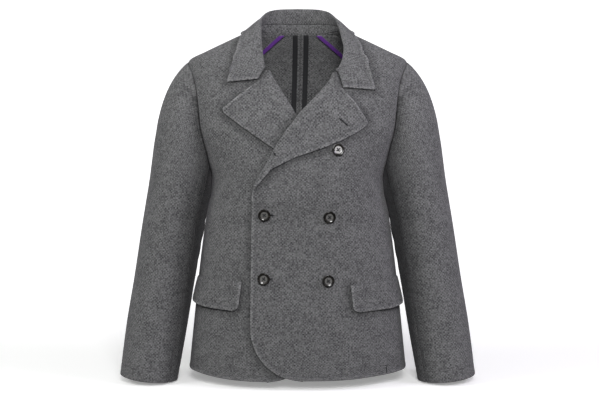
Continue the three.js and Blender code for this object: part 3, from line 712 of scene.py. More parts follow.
@dataclass(frozen=True)
class WoolTweed(Finish):
    """Heavy woollen tweed: carded yarns of mixed greys in a basket weave, lightly milled.

    It gives the eye a dull, soft, finely speckled grey with a hint of violet.
    """

    dark: str = "#252527"
    light: str = "#929293"
    yarn: float = 1.7  # thickness, drawn about twice its real size so that it shows
    pair: float = 3.4  # of yarns that pass over and under together
    waver: float = 1.0  # of the yarns from straight lines
    waver_size: float = 8.0
    cloud_size: float = 30.0
    relief: float = 0.3

    def dress(self, tree: ShaderTree) -> tuple[Settings, Links]:
        """The weave, with dark seam lines, a painted highlight on rolled edges, painted shade and
        shadow, and a faint nap.
        """
        flat = tree.cloth_place()
        stray = tree.noise(flat, self.waver_size, rough=0.6, output="Color")
        settings = {"operation": "MULTIPLY_ADD", 1: (self.waver * MM,) * 3}
        place = tree.add("VectorMath", settings, {0: stray, 2: flat})
        warp = self.yarns(tree, place, self.yarn, self.pair)
        weft = self.yarns(tree, place, self.pair, self.yarn)
        basket = tree.add("TexChecker", {"Scale": 1000 / self.pair}, {"Vector": place}, "Fac")
        woven = tree.add("Mix", {"data_type": "FLOAT"}, {0: basket, 2: warp, 3: weft})
        cloud = tree.noise(flat, self.cloud_size)
        tone = self.sum_up(tree, [(woven, 0.42), (basket, 0.14), (cloud, 0.25)], -0.01)
        shade = self.seams_and_painted_light(tree, tree.blend(tone, self.dark, self.light))
        height = self.sum_up(tree, [(woven, 0.7), (basket, 0.3)], 0.0)
        settings = {
            "Roughness": 0.92,
            "IOR": 1.5,
            "Specular IOR Level": 0.25,
            "Sheen Weight": 0.18,
            "Sheen Roughness": 0.5,
            "Sheen Tint": linear("#d8d6dc"),
        }
        return settings, {"Base Color": shade, "Normal": tree.bump(height, 0.9, self.relief)}

    def yarns(self, tree: ShaderTree, place: Socket, across: float, along: float) -> Socket:
        """Lengths of yarn side by side, each of its own grey.

        Args:
            tree: The material's tree.
            place: Where on the cloth.
            across: Size of a length of yarn one way.
            along: Its size the other way.

        Returns:
            The pattern.
        """
        settings = {"operation": "SNAP", 1: (across * MM, along * MM, 1.0)}
        piece = tree.add("VectorMath", settings, {0: place})
        return tree.add("TexWhiteNoise", {}, {"Vector": piece}, "Value")

    def sum_up(self, tree: ShaderTree, terms: list[tuple[Socket, float]], start: float) -> Socket:
        """A start value plus each pattern times its weight.

        Args:
            tree: The material's tree.
            terms: Patterns and their weights.
            start: What they are added to.

        Returns:
            The sum.
        """
        total: Socket | None = None
        for socket, weight in terms:
            links = {0: socket} if total is None else {0: socket, 2: total}
            settings = {"operation": "MULTIPLY_ADD", 1: weight, 2: start}
            total = tree.add("Math", settings, links)
        return total

    def seams_and_painted_light(self, tree: ShaderTree, shade: Socket) -> Socket:
        """The colour: a dark line at a seam, painted shade in the stitches' groove, painted shadow
        beside an edge that lies over it and on a sleeve's side near the trunk, and a painted highlight
        on a rolled edge.

        Args:
            tree: The material's tree.
            shade: The cloth's colour.

        Returns:
            The changed colour.
        """
        edge, seam, under = (tree.attribute(word) for word in ("edge", "seam", "under"))
        off = tree.add("Math", {"operation": "SUBTRACT", 1: STITCH_INSET}, {0: edge})
        off = tree.add("Math", {"operation": "ABSOLUTE"}, {0: off})
        # Each row scales the colour: a painted highlight on a rolled edge, a dark seam line, painted
        # shadow close to and farther from an edge that lies over it (on a sleeve, from the trunk), and
        # painted shade in the stitches' groove.
        for source, low, high, least in (
            (edge, 0.5, STITCH_INSET - 2.5, 1.5),
            (seam, 0.2, 1.8, 0.74),
            (under, 0.6, 5.5, 0.38),
            (under, 2.0, 24.0, 0.6),
            (off, 0.2, 1.5, 0.78),
        ):
            factor = tree.ramp(source, low, high, least, 1.0)
            shade = tree.add("VectorMath", {"operation": "SCALE"}, {0: shade, 3: factor})
        return shade


@dataclass(frozen=True)
class BiasTape(Finish):
    """Cotton bias tape: a fine plain weave, cut on the slant, with a faint satin."""

    colour: str
    pale: str
    thread: float = 0.9
    speck: float = 2.5
    relief: float = 0.1

    def dress(self, tree: ShaderTree) -> tuple[Settings, Links]:
        """The slanting weave under a soft sheen."""
        place = tree.cloth_place()
        slant = tree.add("Mapping", {"Rotation": (0, 0, math.radians(45))}, {"Vector": place})
        weave = tree.add("TexChecker", {"Scale": 2000 / self.thread}, {"Vector": slant}, "Fac")
        shade = tree.blend(tree.noise(place, self.speck), self.colour, self.pale)
        return (
            {"Roughness": 0.7, "IOR": 1.5, "Sheen Weight": 0.1, "Sheen Roughness": 0.4},
            {"Base Color": shade, "Normal": tree.bump(weave, 0.5, self.relief)},
        )


@dataclass(frozen=True)
class BuffaloHorn(Finish):
    """Polished buffalo horn: nearly black, streaked, with a paler heart under a clear gloss."""

    # colour of the middle; the first button's pale one is a painted reflection
    heart: str = "#6b6a68"
    dark: str = "#131210"
    streak: str = "#3a3530"
    heart_ends: tuple[float, float] = (6.4, 8.2)  # where it starts to fade, and has gone

    def dress(self, tree: ShaderTree) -> tuple[Settings, Links]:
        """The streaked horn round its heart."""
        grain = tree.add("Mapping", {"Scale": (120, 120, 420)}, {"Vector": tree.object_place()})
        streaks = tree.add("TexNoise", {"Scale": 1.0, "Detail": 4.0}, {"Vector": grain}, "Fac")
        outer = tree.blend(tree.ramp(streaks, 0.5, 0.75, 0.0, 1.0, False), self.dark, self.streak)
        within = tree.ramp(tree.attribute("radius"), *self.heart_ends, 1.0, 0.0, False)
        settings = {"data_type": "RGBA", 7: linear(self.heart)}
        shade = tree.add("Mix", settings, {0: within, 6: outer}, 2)
        return (
            {"IOR": 1.54, "Coat Weight": 0.4, "Coat Roughness": 0.08},
            {"Base Color": shade, "Roughness": tree.ramp(streaks, 0.3, 0.7, 0.16, 0.26, False)},
        )


@dataclass(frozen=True)
class Thread(Finish):
    """Spun polyester sewing thread: two plies twisted, a dull fine cord."""

    colour: str
    pale: str
    twist: float = 0.7
    relief: float = 0.1

    def dress(self, tree: ShaderTree) -> tuple[Settings, Links]:
        """The plies, in two greys."""
        ply = tree.noise(tree.object_place(), self.twist, 1.0)
        return (
            {"Roughness": 0.75, "IOR": 1.5},
            {
                "Base Color": tree.blend(ply, self.colour, self.pale),
                "Normal": tree.bump(ply, 0.4, self.relief),
            },
        )


@dataclass(frozen=True)
class StudioPaint(Finish):
    """Matt white studio paint, evenly lit."""

    colour: str = "#f4f4f4"
    glow: float = 0.3
    far_glow: float = 0.75
    far: float = 1.4  # metres behind the coat

    def dress(self, tree: ShaderTree) -> tuple[Settings, Links]:
        """The paint, with a glow that grows towards the backdrop."""
        depth = tree.add("SeparateXYZ", {}, {"Vector": tree.object_place()}, "Y")
        settings = {
            "Base Color": linear(self.colour),
            "Roughness": 0.9,
            "Specular IOR Level": 0.0,
            "Emission Color": (1, 1, 1, 1),
        }
        glow = tree.ramp(depth, 0.0, self.far, self.glow, self.far_glow)
        return settings, {"Emission Strength": glow}


@dataclass
class Finishes:
    """The materials of the coat, each built once."""

    def __post_init__(self) -> None:
        """Builds them."""
        self.wool = WoolTweed("basket_weave_tweed").build()
        self.binding = BiasTape("black_bias_tape", "#161618", "#26262a").build()
        self.ribbon = BiasTape("purple_bias_tape", "#4a1d72", "#7b42a8").build()
        self.horn = BuffaloHorn("polished_buffalo_horn").build()
        # The first button's pale middle is a painted reflection.
        self.horn_painted_reflection = BuffaloHorn("horn_with_painted_reflection", "#bab9b7").build()
        self.thread = Thread("grey_sewing_thread", "#55555a", "#77777c").build()
        self.dark_thread = Thread("black_sewing_thread", "#141416", "#2a2a2e").build()


def link(name: str, mesh: bpy.types.Mesh, material: bpy.types.Material) -> bpy.types.Object:
    """An object for a mesh, with its material, in the scene.

    Args:
        name: Its name.
        mesh: The mesh.
        material: Its finish.

    Returns:
        The object.
    """
    piece = bpy.data.objects.new(name, mesh)
    bpy.context.scene.collection.objects.link(piece)
    mesh.materials.append(material)
    return piece


def mesh_of(name: str, points: Array, faces: Array) -> bpy.types.Mesh:
    """A smooth mesh of points in millimetres and four-cornered faces.

    Args:
        name: The mesh's name.
        points: Points, one a row.
        faces: Four point numbers a row.

    Returns:
        The mesh, in metres, its faces turned outwards.
    """
    corners = points[faces]
    fan = np.cross(corners[:, 1] - corners[:, 0], corners[:, 2] - corners[:, 0])
    fan = fan + np.cross(corners[:, 2] - corners[:, 0], corners[:, 3] - corners[:, 0])
    if np.sum(corners[:, 0] * fan) < 0:
        faces = faces[:, ::-1]
    mesh = bpy.data.meshes.new(name)
    mesh.vertices.add(len(points))
    mesh.vertices.foreach_set("co", (points * MM).astype(np.float32).ravel())
    mesh.loops.add(faces.size)
    mesh.loops.foreach_set("vertex_index", faces.astype(np.int32).ravel())
    mesh.polygons.add(len(faces))
    mesh.polygons.foreach_set("loop_start", np.arange(0, faces.size, 4, dtype=np.int32))
    mesh.polygons.foreach_set("use_smooth", np.ones(len(faces), bool))
    mesh.update(calc_edges=True)
    mesh.validate()
    return mesh


def rim_order(rows: int, columns: int) -> Array:
    """The rows and columns of a grid's border, once round.

    Args:
        rows: How many rows the grid has.
        columns: How many columns.

    Returns:
        A row and a column number for each point.
    """
    ring = [(0, j) for j in range(columns)]
    ring += [(i, columns - 1) for i in range(1, rows)]
    ring += [(rows - 1, j) for j in range(columns - 2, -1, -1)]
    ring += [(i, 0) for i in range(rows - 2, 0, -1)]
    return np.array(ring)


def shell(name: str, sheet: Sheet) -> bpy.types.Mesh:
    """A closed mesh of a sheet with its thickness: round at free rims, square at seams.

    Args:
        name: The mesh's name.
        sheet: The cloth.

    Returns:
        The mesh, with a UV map and its distances from edges, seams and edges that lie over it.
    """
    rows, columns = sheet.face.shape[:2]
    normals = sheet.normals()
    flat_face = sheet.face.reshape(-1, 3)
    rear = (sheet.face - normals * sheet.wall).reshape(-1, 3)
    ring = rim_order(rows, columns)
    i, j = ring[:, 0], ring[:, 1]
    out = np.zeros((len(ring), 3))
    growth = np.full(len(ring), 0.42 * sheet.wall)
    for rim, here, step in (
        (Rim.FIRST_COLUMN, j == 0, (0, 1)),
        (Rim.LAST_COLUMN, j == columns - 1, (0, -1)),
        (Rim.FIRST_ROW, i == 0, (1, 0)),
        (Rim.LAST_ROW, i == rows - 1, (-1, 0)),
    ):
        inner = sheet.face[i[here] + step[0], j[here] + step[1]]
        out[here] += unit(sheet.face[i[here], j[here]] - inner)
        if rim in sheet.seams:
            growth[here] = SEAM / 2 + 0.15
    border = normals[i, j]
    out = unit(out - border * np.sum(out * border, axis=1, keepdims=True))
    middle = sheet.face[i, j] - border * sheet.wall / 2
    number = i * columns + j
    rings = [number]
    points = [flat_face, rear]
    count = 2 * rows * columns
    for theta in np.radians([40, 90, 140]):
        lean = growth[:, None] * math.sin(theta) * out
        points.append(middle + sheet.wall / 2 * math.cos(theta) * border + lean)
        rings.append(np.arange(count, count + len(ring)))
        count += len(ring)
    rings.append(number + rows * columns)
    grid = np.arange(rows * columns).reshape(rows, columns)
    a, b, c, d = (g.ravel() for g in (grid[:-1, :-1], grid[:-1, 1:], grid[1:, 1:], grid[1:, :-1]))
    front = np.stack([a, b, c, d], axis=1)
    faces = [front, front[:, ::-1] + rows * columns]
    for low, high in zip(rings[:-1], rings[1:]):
        faces.append(np.stack([np.roll(low, -1), low, high, np.roll(high, -1)], axis=1))
    mesh = mesh_of(name, np.concatenate(points), np.concatenate(faces))
    spots = np.concatenate([np.arange(rows * columns)] * 2 + [number] * 3)
    uv_flat = sheet.uv.reshape(-1, 2)[spots] * MM
    loops = np.zeros(len(mesh.loops), np.int32)
    mesh.loops.foreach_get("vertex_index", loops)
    layer = mesh.uv_layers.new(name="cloth")
    layer.data.foreach_set("uv", uv_flat[loops].astype(np.float32).ravel())
    # The wool reads these distances for its painted highlight, painted shade and shadow, and its dark
    # seam lines.
    for word, values in (("edge", sheet.edge), ("seam", sheet.seam), ("under", sheet.under)):
        held = np.full((rows, columns), FAR) if values is None else values
        data = mesh.attributes.new(word, "FLOAT", "POINT")
        data.data.foreach_set("value", held.ravel()[spots].astype(np.float32))
    return mesh


Crossing = tuple[int, int, int]  # a grid line between two points, by its axis and first point


def level_lines(sheet: Sheet, level: float) -> list[tuple[Array, Array]]:
    """The lines on a sheet that lie a distance from its stitched edges.

    Args:
        sheet: The cloth, with its distances.
        level: The distance.

    Returns:
        Lines, as their points and the cloth's normals there.
    """
    value = sheet.edge - level
    normals = sheet.normals()
    crossings: dict[Crossing, tuple[Array, Array]] = {}
    cells: dict[tuple[int, int], list[Crossing]] = {}
    for axis in (0, 1):
        first = value[:-1] if axis == 0 else value[:, :-1]
        second = value[1:] if axis == 0 else value[:, 1:]
        for i, j in np.argwhere((first > 0) != (second > 0)):
            k, m = (i + 1, j) if axis == 0 else (i, j + 1)
            t = value[i, j] / (value[i, j] - value[k, m])
            point = sheet.face[i, j] * (1 - t) + sheet.face[k, m] * t
            normal = normals[i, j] * (1 - t) + normals[k, m] * t
            key = (axis, int(i), int(j))
            crossings[key] = (point, normal)
            besides = ((i, j), (i, j - 1)) if axis == 0 else ((i, j), (i - 1, j))
            for cell in besides:
                cells.setdefault((int(cell[0]), int(cell[1])), []).append(key)
    joined: dict[Crossing, list[Crossing]] = {k: [] for k in crossings}
    for keys in cells.values():
        if len(keys) == 2:
            joined[keys[0]].append(keys[1])
            joined[keys[1]].append(keys[0])
    lines = []
    left = dict.fromkeys(sorted(joined, key=lambda k: (len(joined[k]), k)))
    while left:
        here = next(iter(left))
        chain = [here]
        del left[here]
        while True:
            ahead = [k for k in joined[chain[-1]] if k in left]
            if not ahead:
                break
            chain.append(ahead[0])
            del left[ahead[0]]
        if len(chain) > 3:
            picked = [crossings[k] for k in chain]
            lines.append((np.array([p for p, _ in picked]), np.array([n for _, n in picked])))
    return lines


@dataclass
class StitchRun:
    """A row of lockstitches: short raised dashes of thread, sunk at both ends."""

    pitch: float = 4.2
    length: float = 3.3
    width: float = 0.7
    height: float = 0.34

    def dashes(self, line: Array, normals: Array) -> tuple[Array, Array]:
        """The stitches along a line.

        Args:
            line: Points on the cloth.
            normals: The cloth's normals at those points.

        Returns:
            Points, and faces as point numbers.
        """
        s = travelled(line)
        count = int(s[-1] / self.pitch)
        if count < 1:
            return np.zeros((0, 3)), np.zeros((0, 4), int)
        starts = (np.arange(count) + 0.5) * (s[-1] / count)

        def at(values: Array, where: Array) -> Array:
            """Values of the line read at distances along it."""
            return np.stack([np.interp(where, s, values[:, k]) for k in range(3)], axis=1)

        centre = at(line, starts)
        ahead = unit(at(line, starts + 0.4 * self.length) - at(line, starts - 0.4 * self.length))
        up = unit(at(normals, starts))
        side = unit(np.cross(up, ahead))
        shape = []
        for along, half in ((-0.5, 0.3), (-0.3, 1.0), (0.3, 1.0), (0.5, 0.3)):
            for across, rise_by in ((-0.5, -0.35), (-0.32, 0.62), (0.32, 0.62), (0.5, -0.35)):
                low = -0.5 if half < 1 else 0.0
                shape.append((along * self.length, across * self.width * half, rise_by * half + low))
        shape = np.array(shape)
        points = (
            centre[:, None]
            + ahead[:, None] * shape[None, :, 0:1]
            + side[:, None] * shape[None, :, 1:2]
            + up[:, None] * (shape[None, :, 2:3] * self.height * 1.6)
        )
        quads = [[3, 2, 1, 0], [12, 13, 14, 15]]
        for k in (0, 4, 8):
            for m, n in ((0, 1), (1, 2), (2, 3), (3, 0)):
                quads.append([k + m, k + n, k + 4 + n, k + 4 + m])
        numbers = np.arange(count)[:, None, None] * len(shape)
        faces = (numbers + np.array(quads)[None]).reshape(-1, 4)
        return points.reshape(-1, 3), faces


@dataclass
class Sewing:
    """Turns sheets into pieces of the coat, with their topstitching."""

    finishes: Finishes
    run: StitchRun = field(default_factory=StitchRun)

    def fix(self, piece: bpy.types.Object, slot: str, *nodes: str) -> None:
        """Lets a piece ride on the coat and stand for its solids.

        Args:
            piece: The piece.
            slot: Not used.
            nodes: The solids that it stands for.
        """
        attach(piece, BODY)
        if nodes:
            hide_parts(*nodes)
        log.info("%s: %d faces", piece.name, len(piece.data.polygons))

    def cloth(
        self,
        name: str,
        sheet: Sheet,
        hold: Hold,
        material: bpy.types.Material | None = None,
        slot: str = "wool",
        rests_on: Sequence[str] = (),
        with_pieces: Sequence[bpy.types.Object] = (),
    ) -> None:
        """A piece of cloth in place of its solid, declared with its flat size.

        Args:
            A piece of cloth in place of its solid, with its flat size logged.
            sheet: Its form.
            hold: How it is held; not used.
            material: Its finish, the wool unless given.
            slot: Not used; it is passed on to fix, which ignores it.
            rests_on: The pieces it lies on; not used.
            with_pieces: Separate pieces on it, such as stitches.
        """
        width, length, area = sheet.size()
        piece = link(f"{name}_cloth", shell(name, sheet), material or self.finishes.wool)
        self.fix(piece, slot, name)
        width, length = round(width, 3), round(length, 3)
        log.info("%s: flat %.3f by %.3f m, %.4f square metres", name, width, length, area)

    def topstitch(self, name: str, sheet: Sheet) -> list[bpy.types.Object]:
        """The rows of stitches along a sheet's stitched edges, as one piece.

        Args:
            name: The piece's name.
            sheet: The cloth.

        Returns:
            The piece, or nothing where no row is long enough.
        """
        points, faces, count = [], [], 0
        for line, normals in level_lines(sheet, STITCH_INSET):
            new, quads = self.run.dashes(line, normals)
            points.append(new)
            faces.append(quads + count)
            count += len(new)
        if not count:
            return []
        mesh = mesh_of(name, np.concatenate(points), np.concatenate(faces))
        piece = link(name, mesh, self.finishes.thread)
        self.fix(piece, "wool")
        return [piece]


# Distances of the first rows and columns from a hem or edge, and of the last ones from a seam.
EDGE_STEPS = (0, 0.9, 2.0, 3.4, 5.0, 6.5, 7.6, 8.5, 9.4, 10.5, 12.5, 15.5)
SEAM_STEPS = (8.0, 5.0, 3.0, 1.6, 0.6, 0.0)

# Levels of a trunk piece up to the armhole, beside it and over it.
SKIRT_LEVELS, ARMHOLE_LEVELS, SHOULDER_LEVELS = 106, 76, 34


def body_levels(hem: float, armhole: Armhole) -> Array:
    """Heights of a trunk piece's rows, from its hem to its neck.

    Args:
        hem: Height of the hem.
        armhole: The armhole beside the piece.

    Returns:
        The heights.
    """
    low = hem + np.array(EDGE_STEPS)
    skirt = np.linspace(low[-1], armhole.bottom, SKIRT_LEVELS)[1:-1]
    turn = np.linspace(math.pi, 0, ARMHOLE_LEVELS)
    top = np.linspace(armhole.top, NECK_TOP, SHOULDER_LEVELS)[1:]
    return np.concatenate([low, skirt, armhole.height(turn), top])


def signed_arc(trunk: Trunk, angle: Array, z: Array, centre: float) -> Array:
    """How far round the trunk an angle lies from a centre line, at each height.

    Args:
        trunk: The trunk.
        angle: The angle at each height.
        z: The heights.
        centre: The centre line's angle.

    Returns:
        The distances.
    """
    t = np.linspace(0, 1, 40)
    angles = centre + (angle - centre)[:, None] * t
    points = trunk.place(angles, z[:, None])
    length = np.linalg.norm(np.diff(points, axis=1), axis=-1).sum(axis=1)
    return length * np.sign(angle - centre)


def trunk_rows(
    trunk: Trunk,
    start: Array,
    end: Array,
    z: Array,
    lift: Callable[[Array, Array], Array],
    columns: Callable[[float], Array],
    centre: float,
    shift: Callable[[Array, Array], Array],
) -> tuple[Array, Array, Array]:
    """Rows of cloth round the trunk between two angles, spaced by length.

    Args:
        trunk: The trunk.
        start: Angle of each row's first point.
        end: Angle of each row's last point.
        z: Height of each row.
        lift: How far the cloth stands off the trunk, by distance from the centre and height.
        columns: Places along a row, from its length.
        centre: The angle that distances across the cloth are measured from.
        shift: How far a row lies over its height, by the share of it and that height.

    Returns:
        The points, their places on the flat cloth and the directions out.
    """
    t = np.linspace(0, 1, 260)
    angles = start[:, None] + (end - start)[:, None] * t
    heights = z[:, None] + shift(t[None], z[:, None])
    reach = travelled(trunk.place(angles, heights), axis=1)
    picked, tall, across = [], [], []
    first = signed_arc(trunk, start, z, centre)
    for row in range(len(z)):
        want = columns(reach[row, -1])
        picked.append(np.interp(want, reach[row], angles[row]))
        tall.append(np.interp(want, reach[row], heights[row]))
        across.append(first[row] + want)
    angle, height = np.array(picked), np.array(tall)
    flat = trunk.place(angle, height)
    normal = trunk.normal(angle, height)
    face = flat + normal * lift(flat[..., 0], height)[..., None]
    along = travelled(face[:, face.shape[1] // 2])[:, None]
    uv = np.stack(np.broadcast_arrays(np.array(across), along), axis=-1)
    return face, uv, normal


@dataclass
class Front:
    """One front of the coat with its neckline, lapel fold, front edge and round corner."""

    trunk: Trunk
    armhole: Armhole
    side: Side
    hem: float
    lapel: list[LapelRow]
    neckline: list[NeckRow]
    edge_top: float
    edge_middle: float
    edge_bottom: float
    corner: float
    over: bool
    bend: float  # how far the edge bends in to meet the fold
    hem_rise: tuple[float, float]  # of the hem over its level, at the front and at the side
    setback: float = 6.0
    bend_height: float = 26.0
    middle_level: float = -420.0
    drawn_over: float = 20.0  # height in which the cut edge draws in to the fold's ends
    columns: int = 92

    def __post_init__(self) -> None:
        """Fits the lines through the tables."""
        self.fold = column(self.lapel, "fold")
        self.neck = column(self.neckline, "edge")

    def edge_below(self, z: Array) -> Array:
        """Where the front edge lies below the lapel, with its round corner at the hem.

        Args:
            z: Height.

        Returns:
            Distance from the centre to the front's own side.
        """
        top = self.lapel[-1].z
        corner = self.hem + self.corner
        drop = np.clip(corner - z, 0, self.corner)
        bend = self.edge_bottom + self.corner - np.sqrt(self.corner**2 - drop**2)
        low = self.edge_bottom + (self.edge_middle - self.edge_bottom) * (z - corner) / (
            self.middle_level - corner
        )
        high = self.edge_middle + (self.edge_top - self.edge_middle) * (z - self.middle_level) / (
            top - self.middle_level
        )
        high = high + self.bend * np.clip(1 - (top - z) / self.bend_height, 0, 1) ** 2
        return np.where(z < corner, bend, np.where(z < self.middle_level, low, high))

    def start(self, z: Array) -> Array:
        """Where the front's cut edge lies at a height.

        Args:
            z: Height.

        Returns:
            Distance from the centre to the front's own side.
        """
        z = np.asarray(z, float)
        top, bottom = self.lapel[0].z, self.lapel[-1].z
        low, high = (z - bottom) / self.drawn_over, (top - z) / self.drawn_over
        drawn = np.minimum(np.minimum(1, low), 0.3 + high)
        folded = self.fold(z) + self.setback * drawn
        return np.where(z >= top, self.neck(z), np.where(z > bottom, folded, self.edge_below(z)))

    def lift(self, x: Array, z: Array) -> Array:
        """How far the over front stands off the trunk, to pass over the under front.

        Args:
            x: Distance from the centre.
            z: Height.

        Returns:
            The distances off the trunk.
        """
        if not self.over:
            return np.zeros(np.broadcast(x, z).shape)
        overlap = (WALL + SEAM + 0.2) * (1 - rise((x - 100) / 60)) * rise((-110 - z) / 60)
        reach = rise((-120 - z) / 55) * rise((z + 400) / 55)
        lapel = (WALL + 2.4) * reach * (1 - rise((x - 96) / 60))
        edge = 1.8 * (1 - rise((x + 100) / 45)) * rise((-290 - z) / 60)
        end = self.lapel[-1].z
        beside = 1 - rise((x - self.edge_below(np.minimum(z, end))) / 30)
        roll = 2.6 * beside * rise((z - end + 70) / 60) * (1 - rise((z - end) / 30))
        return overlap + lapel + edge + roll

    def at(self, x: Array, z: Array, lift: Array | float) -> Array:
        """Places over the front's outer side.

        Args:
            x: Distance from the centre, positive to the front's own side.
            z: Height.
            lift: Height over the cloth.

        Returns:
            The places, for a front on the wearer's left.
        """
        return self.trunk.lifted(self.trunk.angle_at(x, z), z, self.lift(x, z) + lift)

    def hem_shift(self, t: Array, z: Array) -> Array:
        """How far a row lies over its level, at a share of the way to the side seam."""
        front, side = self.hem_rise
        return (front + (side - front) * rise((t - 0.1) / 0.6)) * (1 - rise((z - self.hem) / 130))

    def sheet(self, creases: Sequence[Crease]) -> Sheet:
        """The front's cloth, with its creases and pressed edges.

        Args:
            creases: Its creases.

        Returns:
            The sheet.
        """
        z = body_levels(self.hem, self.armhole)
        face, uv, normal = trunk_rows(
            self.trunk,
            self.trunk.angle_at(self.start(z), z),
            self.armhole.edge(z, False),
            z,
            self.lift,
            lambda total: spread(total, EDGE_STEPS, SEAM_STEPS, self.columns),
            0.0,
            self.hem_shift,
        )
        sheet = Sheet(face, uv, normal, (Rim.LAST_COLUMN, Rim.LAST_ROW))
        sheet.crease(creases)
        below = z <= self.lapel[-1].z + 4
        sheet.press([sheet.rim(Rim.FIRST_COLUMN)[below], sheet.rim(Rim.FIRST_ROW)],
                    [sheet.rim(Rim.LAST_COLUMN)])
        return sheet.turned_to(self.side)


@dataclass
class Lapel:
    """A front's turned-back top: it wraps the cut edge, swells at the fold and lies flat."""

    front: Front
    swell: float
    step: float = 1.7

    def sheet(self) -> Sheet:
        """The lapel's cloth, from inside the fold to its free edge."""
        rows = self.front.lapel
        z = np.linspace(rows[0].z, rows[-1].z, int((rows[0].z - rows[-1].z) / self.step))
        z = np.unique(np.concatenate([z, [r.z for r in rows]]))[::-1]
        levels = [r.z for r in rows][::-1]
        edge = np.interp(z, levels, [r.edge for r in rows][::-1])
        rim = self.front.start(z - 1e-6)
        width = edge - rim
        slope = (self.front.start(z + 2) - self.front.start(z - 2)) / 4
        slope[:2], slope[-2:] = slope[2], slope[-3]
        lean = 1.12 * np.hypot(1, slope)
        wrap = SmoothLine([0, 1, 2, 3, 4], [-3.0, -4.6, -5.5, -4.2, 0.2])
        height = SmoothLine([0, 1, 2, 3, 4], [-3.3, -2.2, 0.4, 3.2, 4.9])
        t = np.linspace(0, 4, 15)
        drawn = np.clip((z - rows[-1].z) / self.front.drawn_over, 0, 1)[:, None]
        near_x = rim[:, None] + wrap(t)[None] * lean[:, None] * (0.25 + 0.75 * drawn)
        sink = 3.4 * (1 - rise((z - rows[-1].z) / 22))[:, None]
        near_lift = height(t) - sink * rise(t / 3)
        share = np.linspace(0, 1, 78)[1:]
        s = np.maximum(share * width[:, None], 3 * share + 1)
        full = np.minimum(1, width / 24)[:, None]
        flat = WALL + LAPEL_PLY + self.swell * full * np.exp(-((s - 9) ** 2) / 260)
        settle = rise(s / 7)
        lift = flat * settle + 4.9 * (1 - settle) - sink
        x = np.concatenate([near_x, rim[:, None] + s], axis=1)
        lifts = np.concatenate([near_lift, lift], axis=1)
        tuck = 2.2 * rise((z - rows[0].z + 5) / 5)
        level = np.broadcast_to((z + tuck)[:, None], x.shape)
        face = self.front.at(x, level, lifts)
        uv = np.stack([x, level], axis=-1)
        outward = np.zeros_like(face)
        outward[:, len(t) + 4 :] = np.array([0, -1, 0])
        sheet = Sheet(face, uv, outward)
        free = z <= rows[1].z
        sheet.press([sheet.rim(Rim.LAST_COLUMN)[free]], [sheet.rim(Rim.LAST_COLUMN)[~free]], 0.7)
        return sheet.turned_to(self.front.side)


@dataclass
class Back:
    """One half of the back, from the centre seam to the side."""

    trunk: Trunk
    armhole: Armhole
    side: Side
    hem: float = -720.0
    lean: float = 6.5  # of the centre seam at the neck, to the wearer's left
    lean_level: float = -300.0
    side_rise: float = 4.0  # of the hem at the side seam
    columns: int = 78

    def seam(self, z: Array) -> Array:
        """How far the centre seam lies to the wearer's left."""
        return self.lean * rise((z - self.lean_level) / (BACK_NECK - self.lean_level))

    def shift(self, t: Array, z: Array) -> Array:
        """How far a row lies over its level: hollowed at the neck, a little up at the side."""
        neck = (BACK_NECK - NECK_TOP) * (1 - rise(t)) * rise((z + 60) / (NECK_TOP + 60))
        return neck + self.side_rise * rise(2 * t - 1) * (1 - rise((z - self.hem) / 130))

    def sheet(self, creases: Sequence[Crease]) -> Sheet:
        """The cloth of this half of the back.

        Args:
            creases: Its creases.

        Returns:
            The sheet.
        """
        z = body_levels(self.hem, self.armhole)
        x = self.side.value * self.seam(z) + SEAM / 2
        face, uv, normal = trunk_rows(
            self.trunk,
            self.trunk.angle_at(x, z, behind=True),
            self.armhole.edge(z, True),
            z,
            lambda a, b: np.zeros_like(a),
            lambda total: spread(total, SEAM_STEPS[::-1], SEAM_STEPS, self.columns),
            math.pi,
            self.shift,
        )
        uv[..., 0] *= -1
        sheet = Sheet(face, uv, normal, (Rim.FIRST_COLUMN, Rim.LAST_COLUMN, Rim.LAST_ROW))
        sheet.crease(creases)
        sheet.press([sheet.rim(Rim.FIRST_ROW)],
                    [sheet.rim(Rim.LAST_COLUMN), sheet.rim(Rim.FIRST_COLUMN)])
        return sheet.turned_to(self.side)


def curves(
    a: Array, leave: Array, b: Array, arrive: Array, shares: Array
) -> Array:
    """Rows of points on the curves from one row of points to another.

    Args:
        a: Where each curve starts.
        leave: Which way, and how strongly, it leaves.
        b: Where it ends.
        arrive: Which way, and how strongly, it arrives.
        shares: Shares of the way, one for each row.

    Returns:
        The rows.
    """
    t = shares[:, None, None]
    h = (1 + 2 * t) * (1 - t) ** 2
    return a * h + leave * (t * (1 - t) ** 2) + b * (1 - h) + arrive * (t * t * (t - 1))


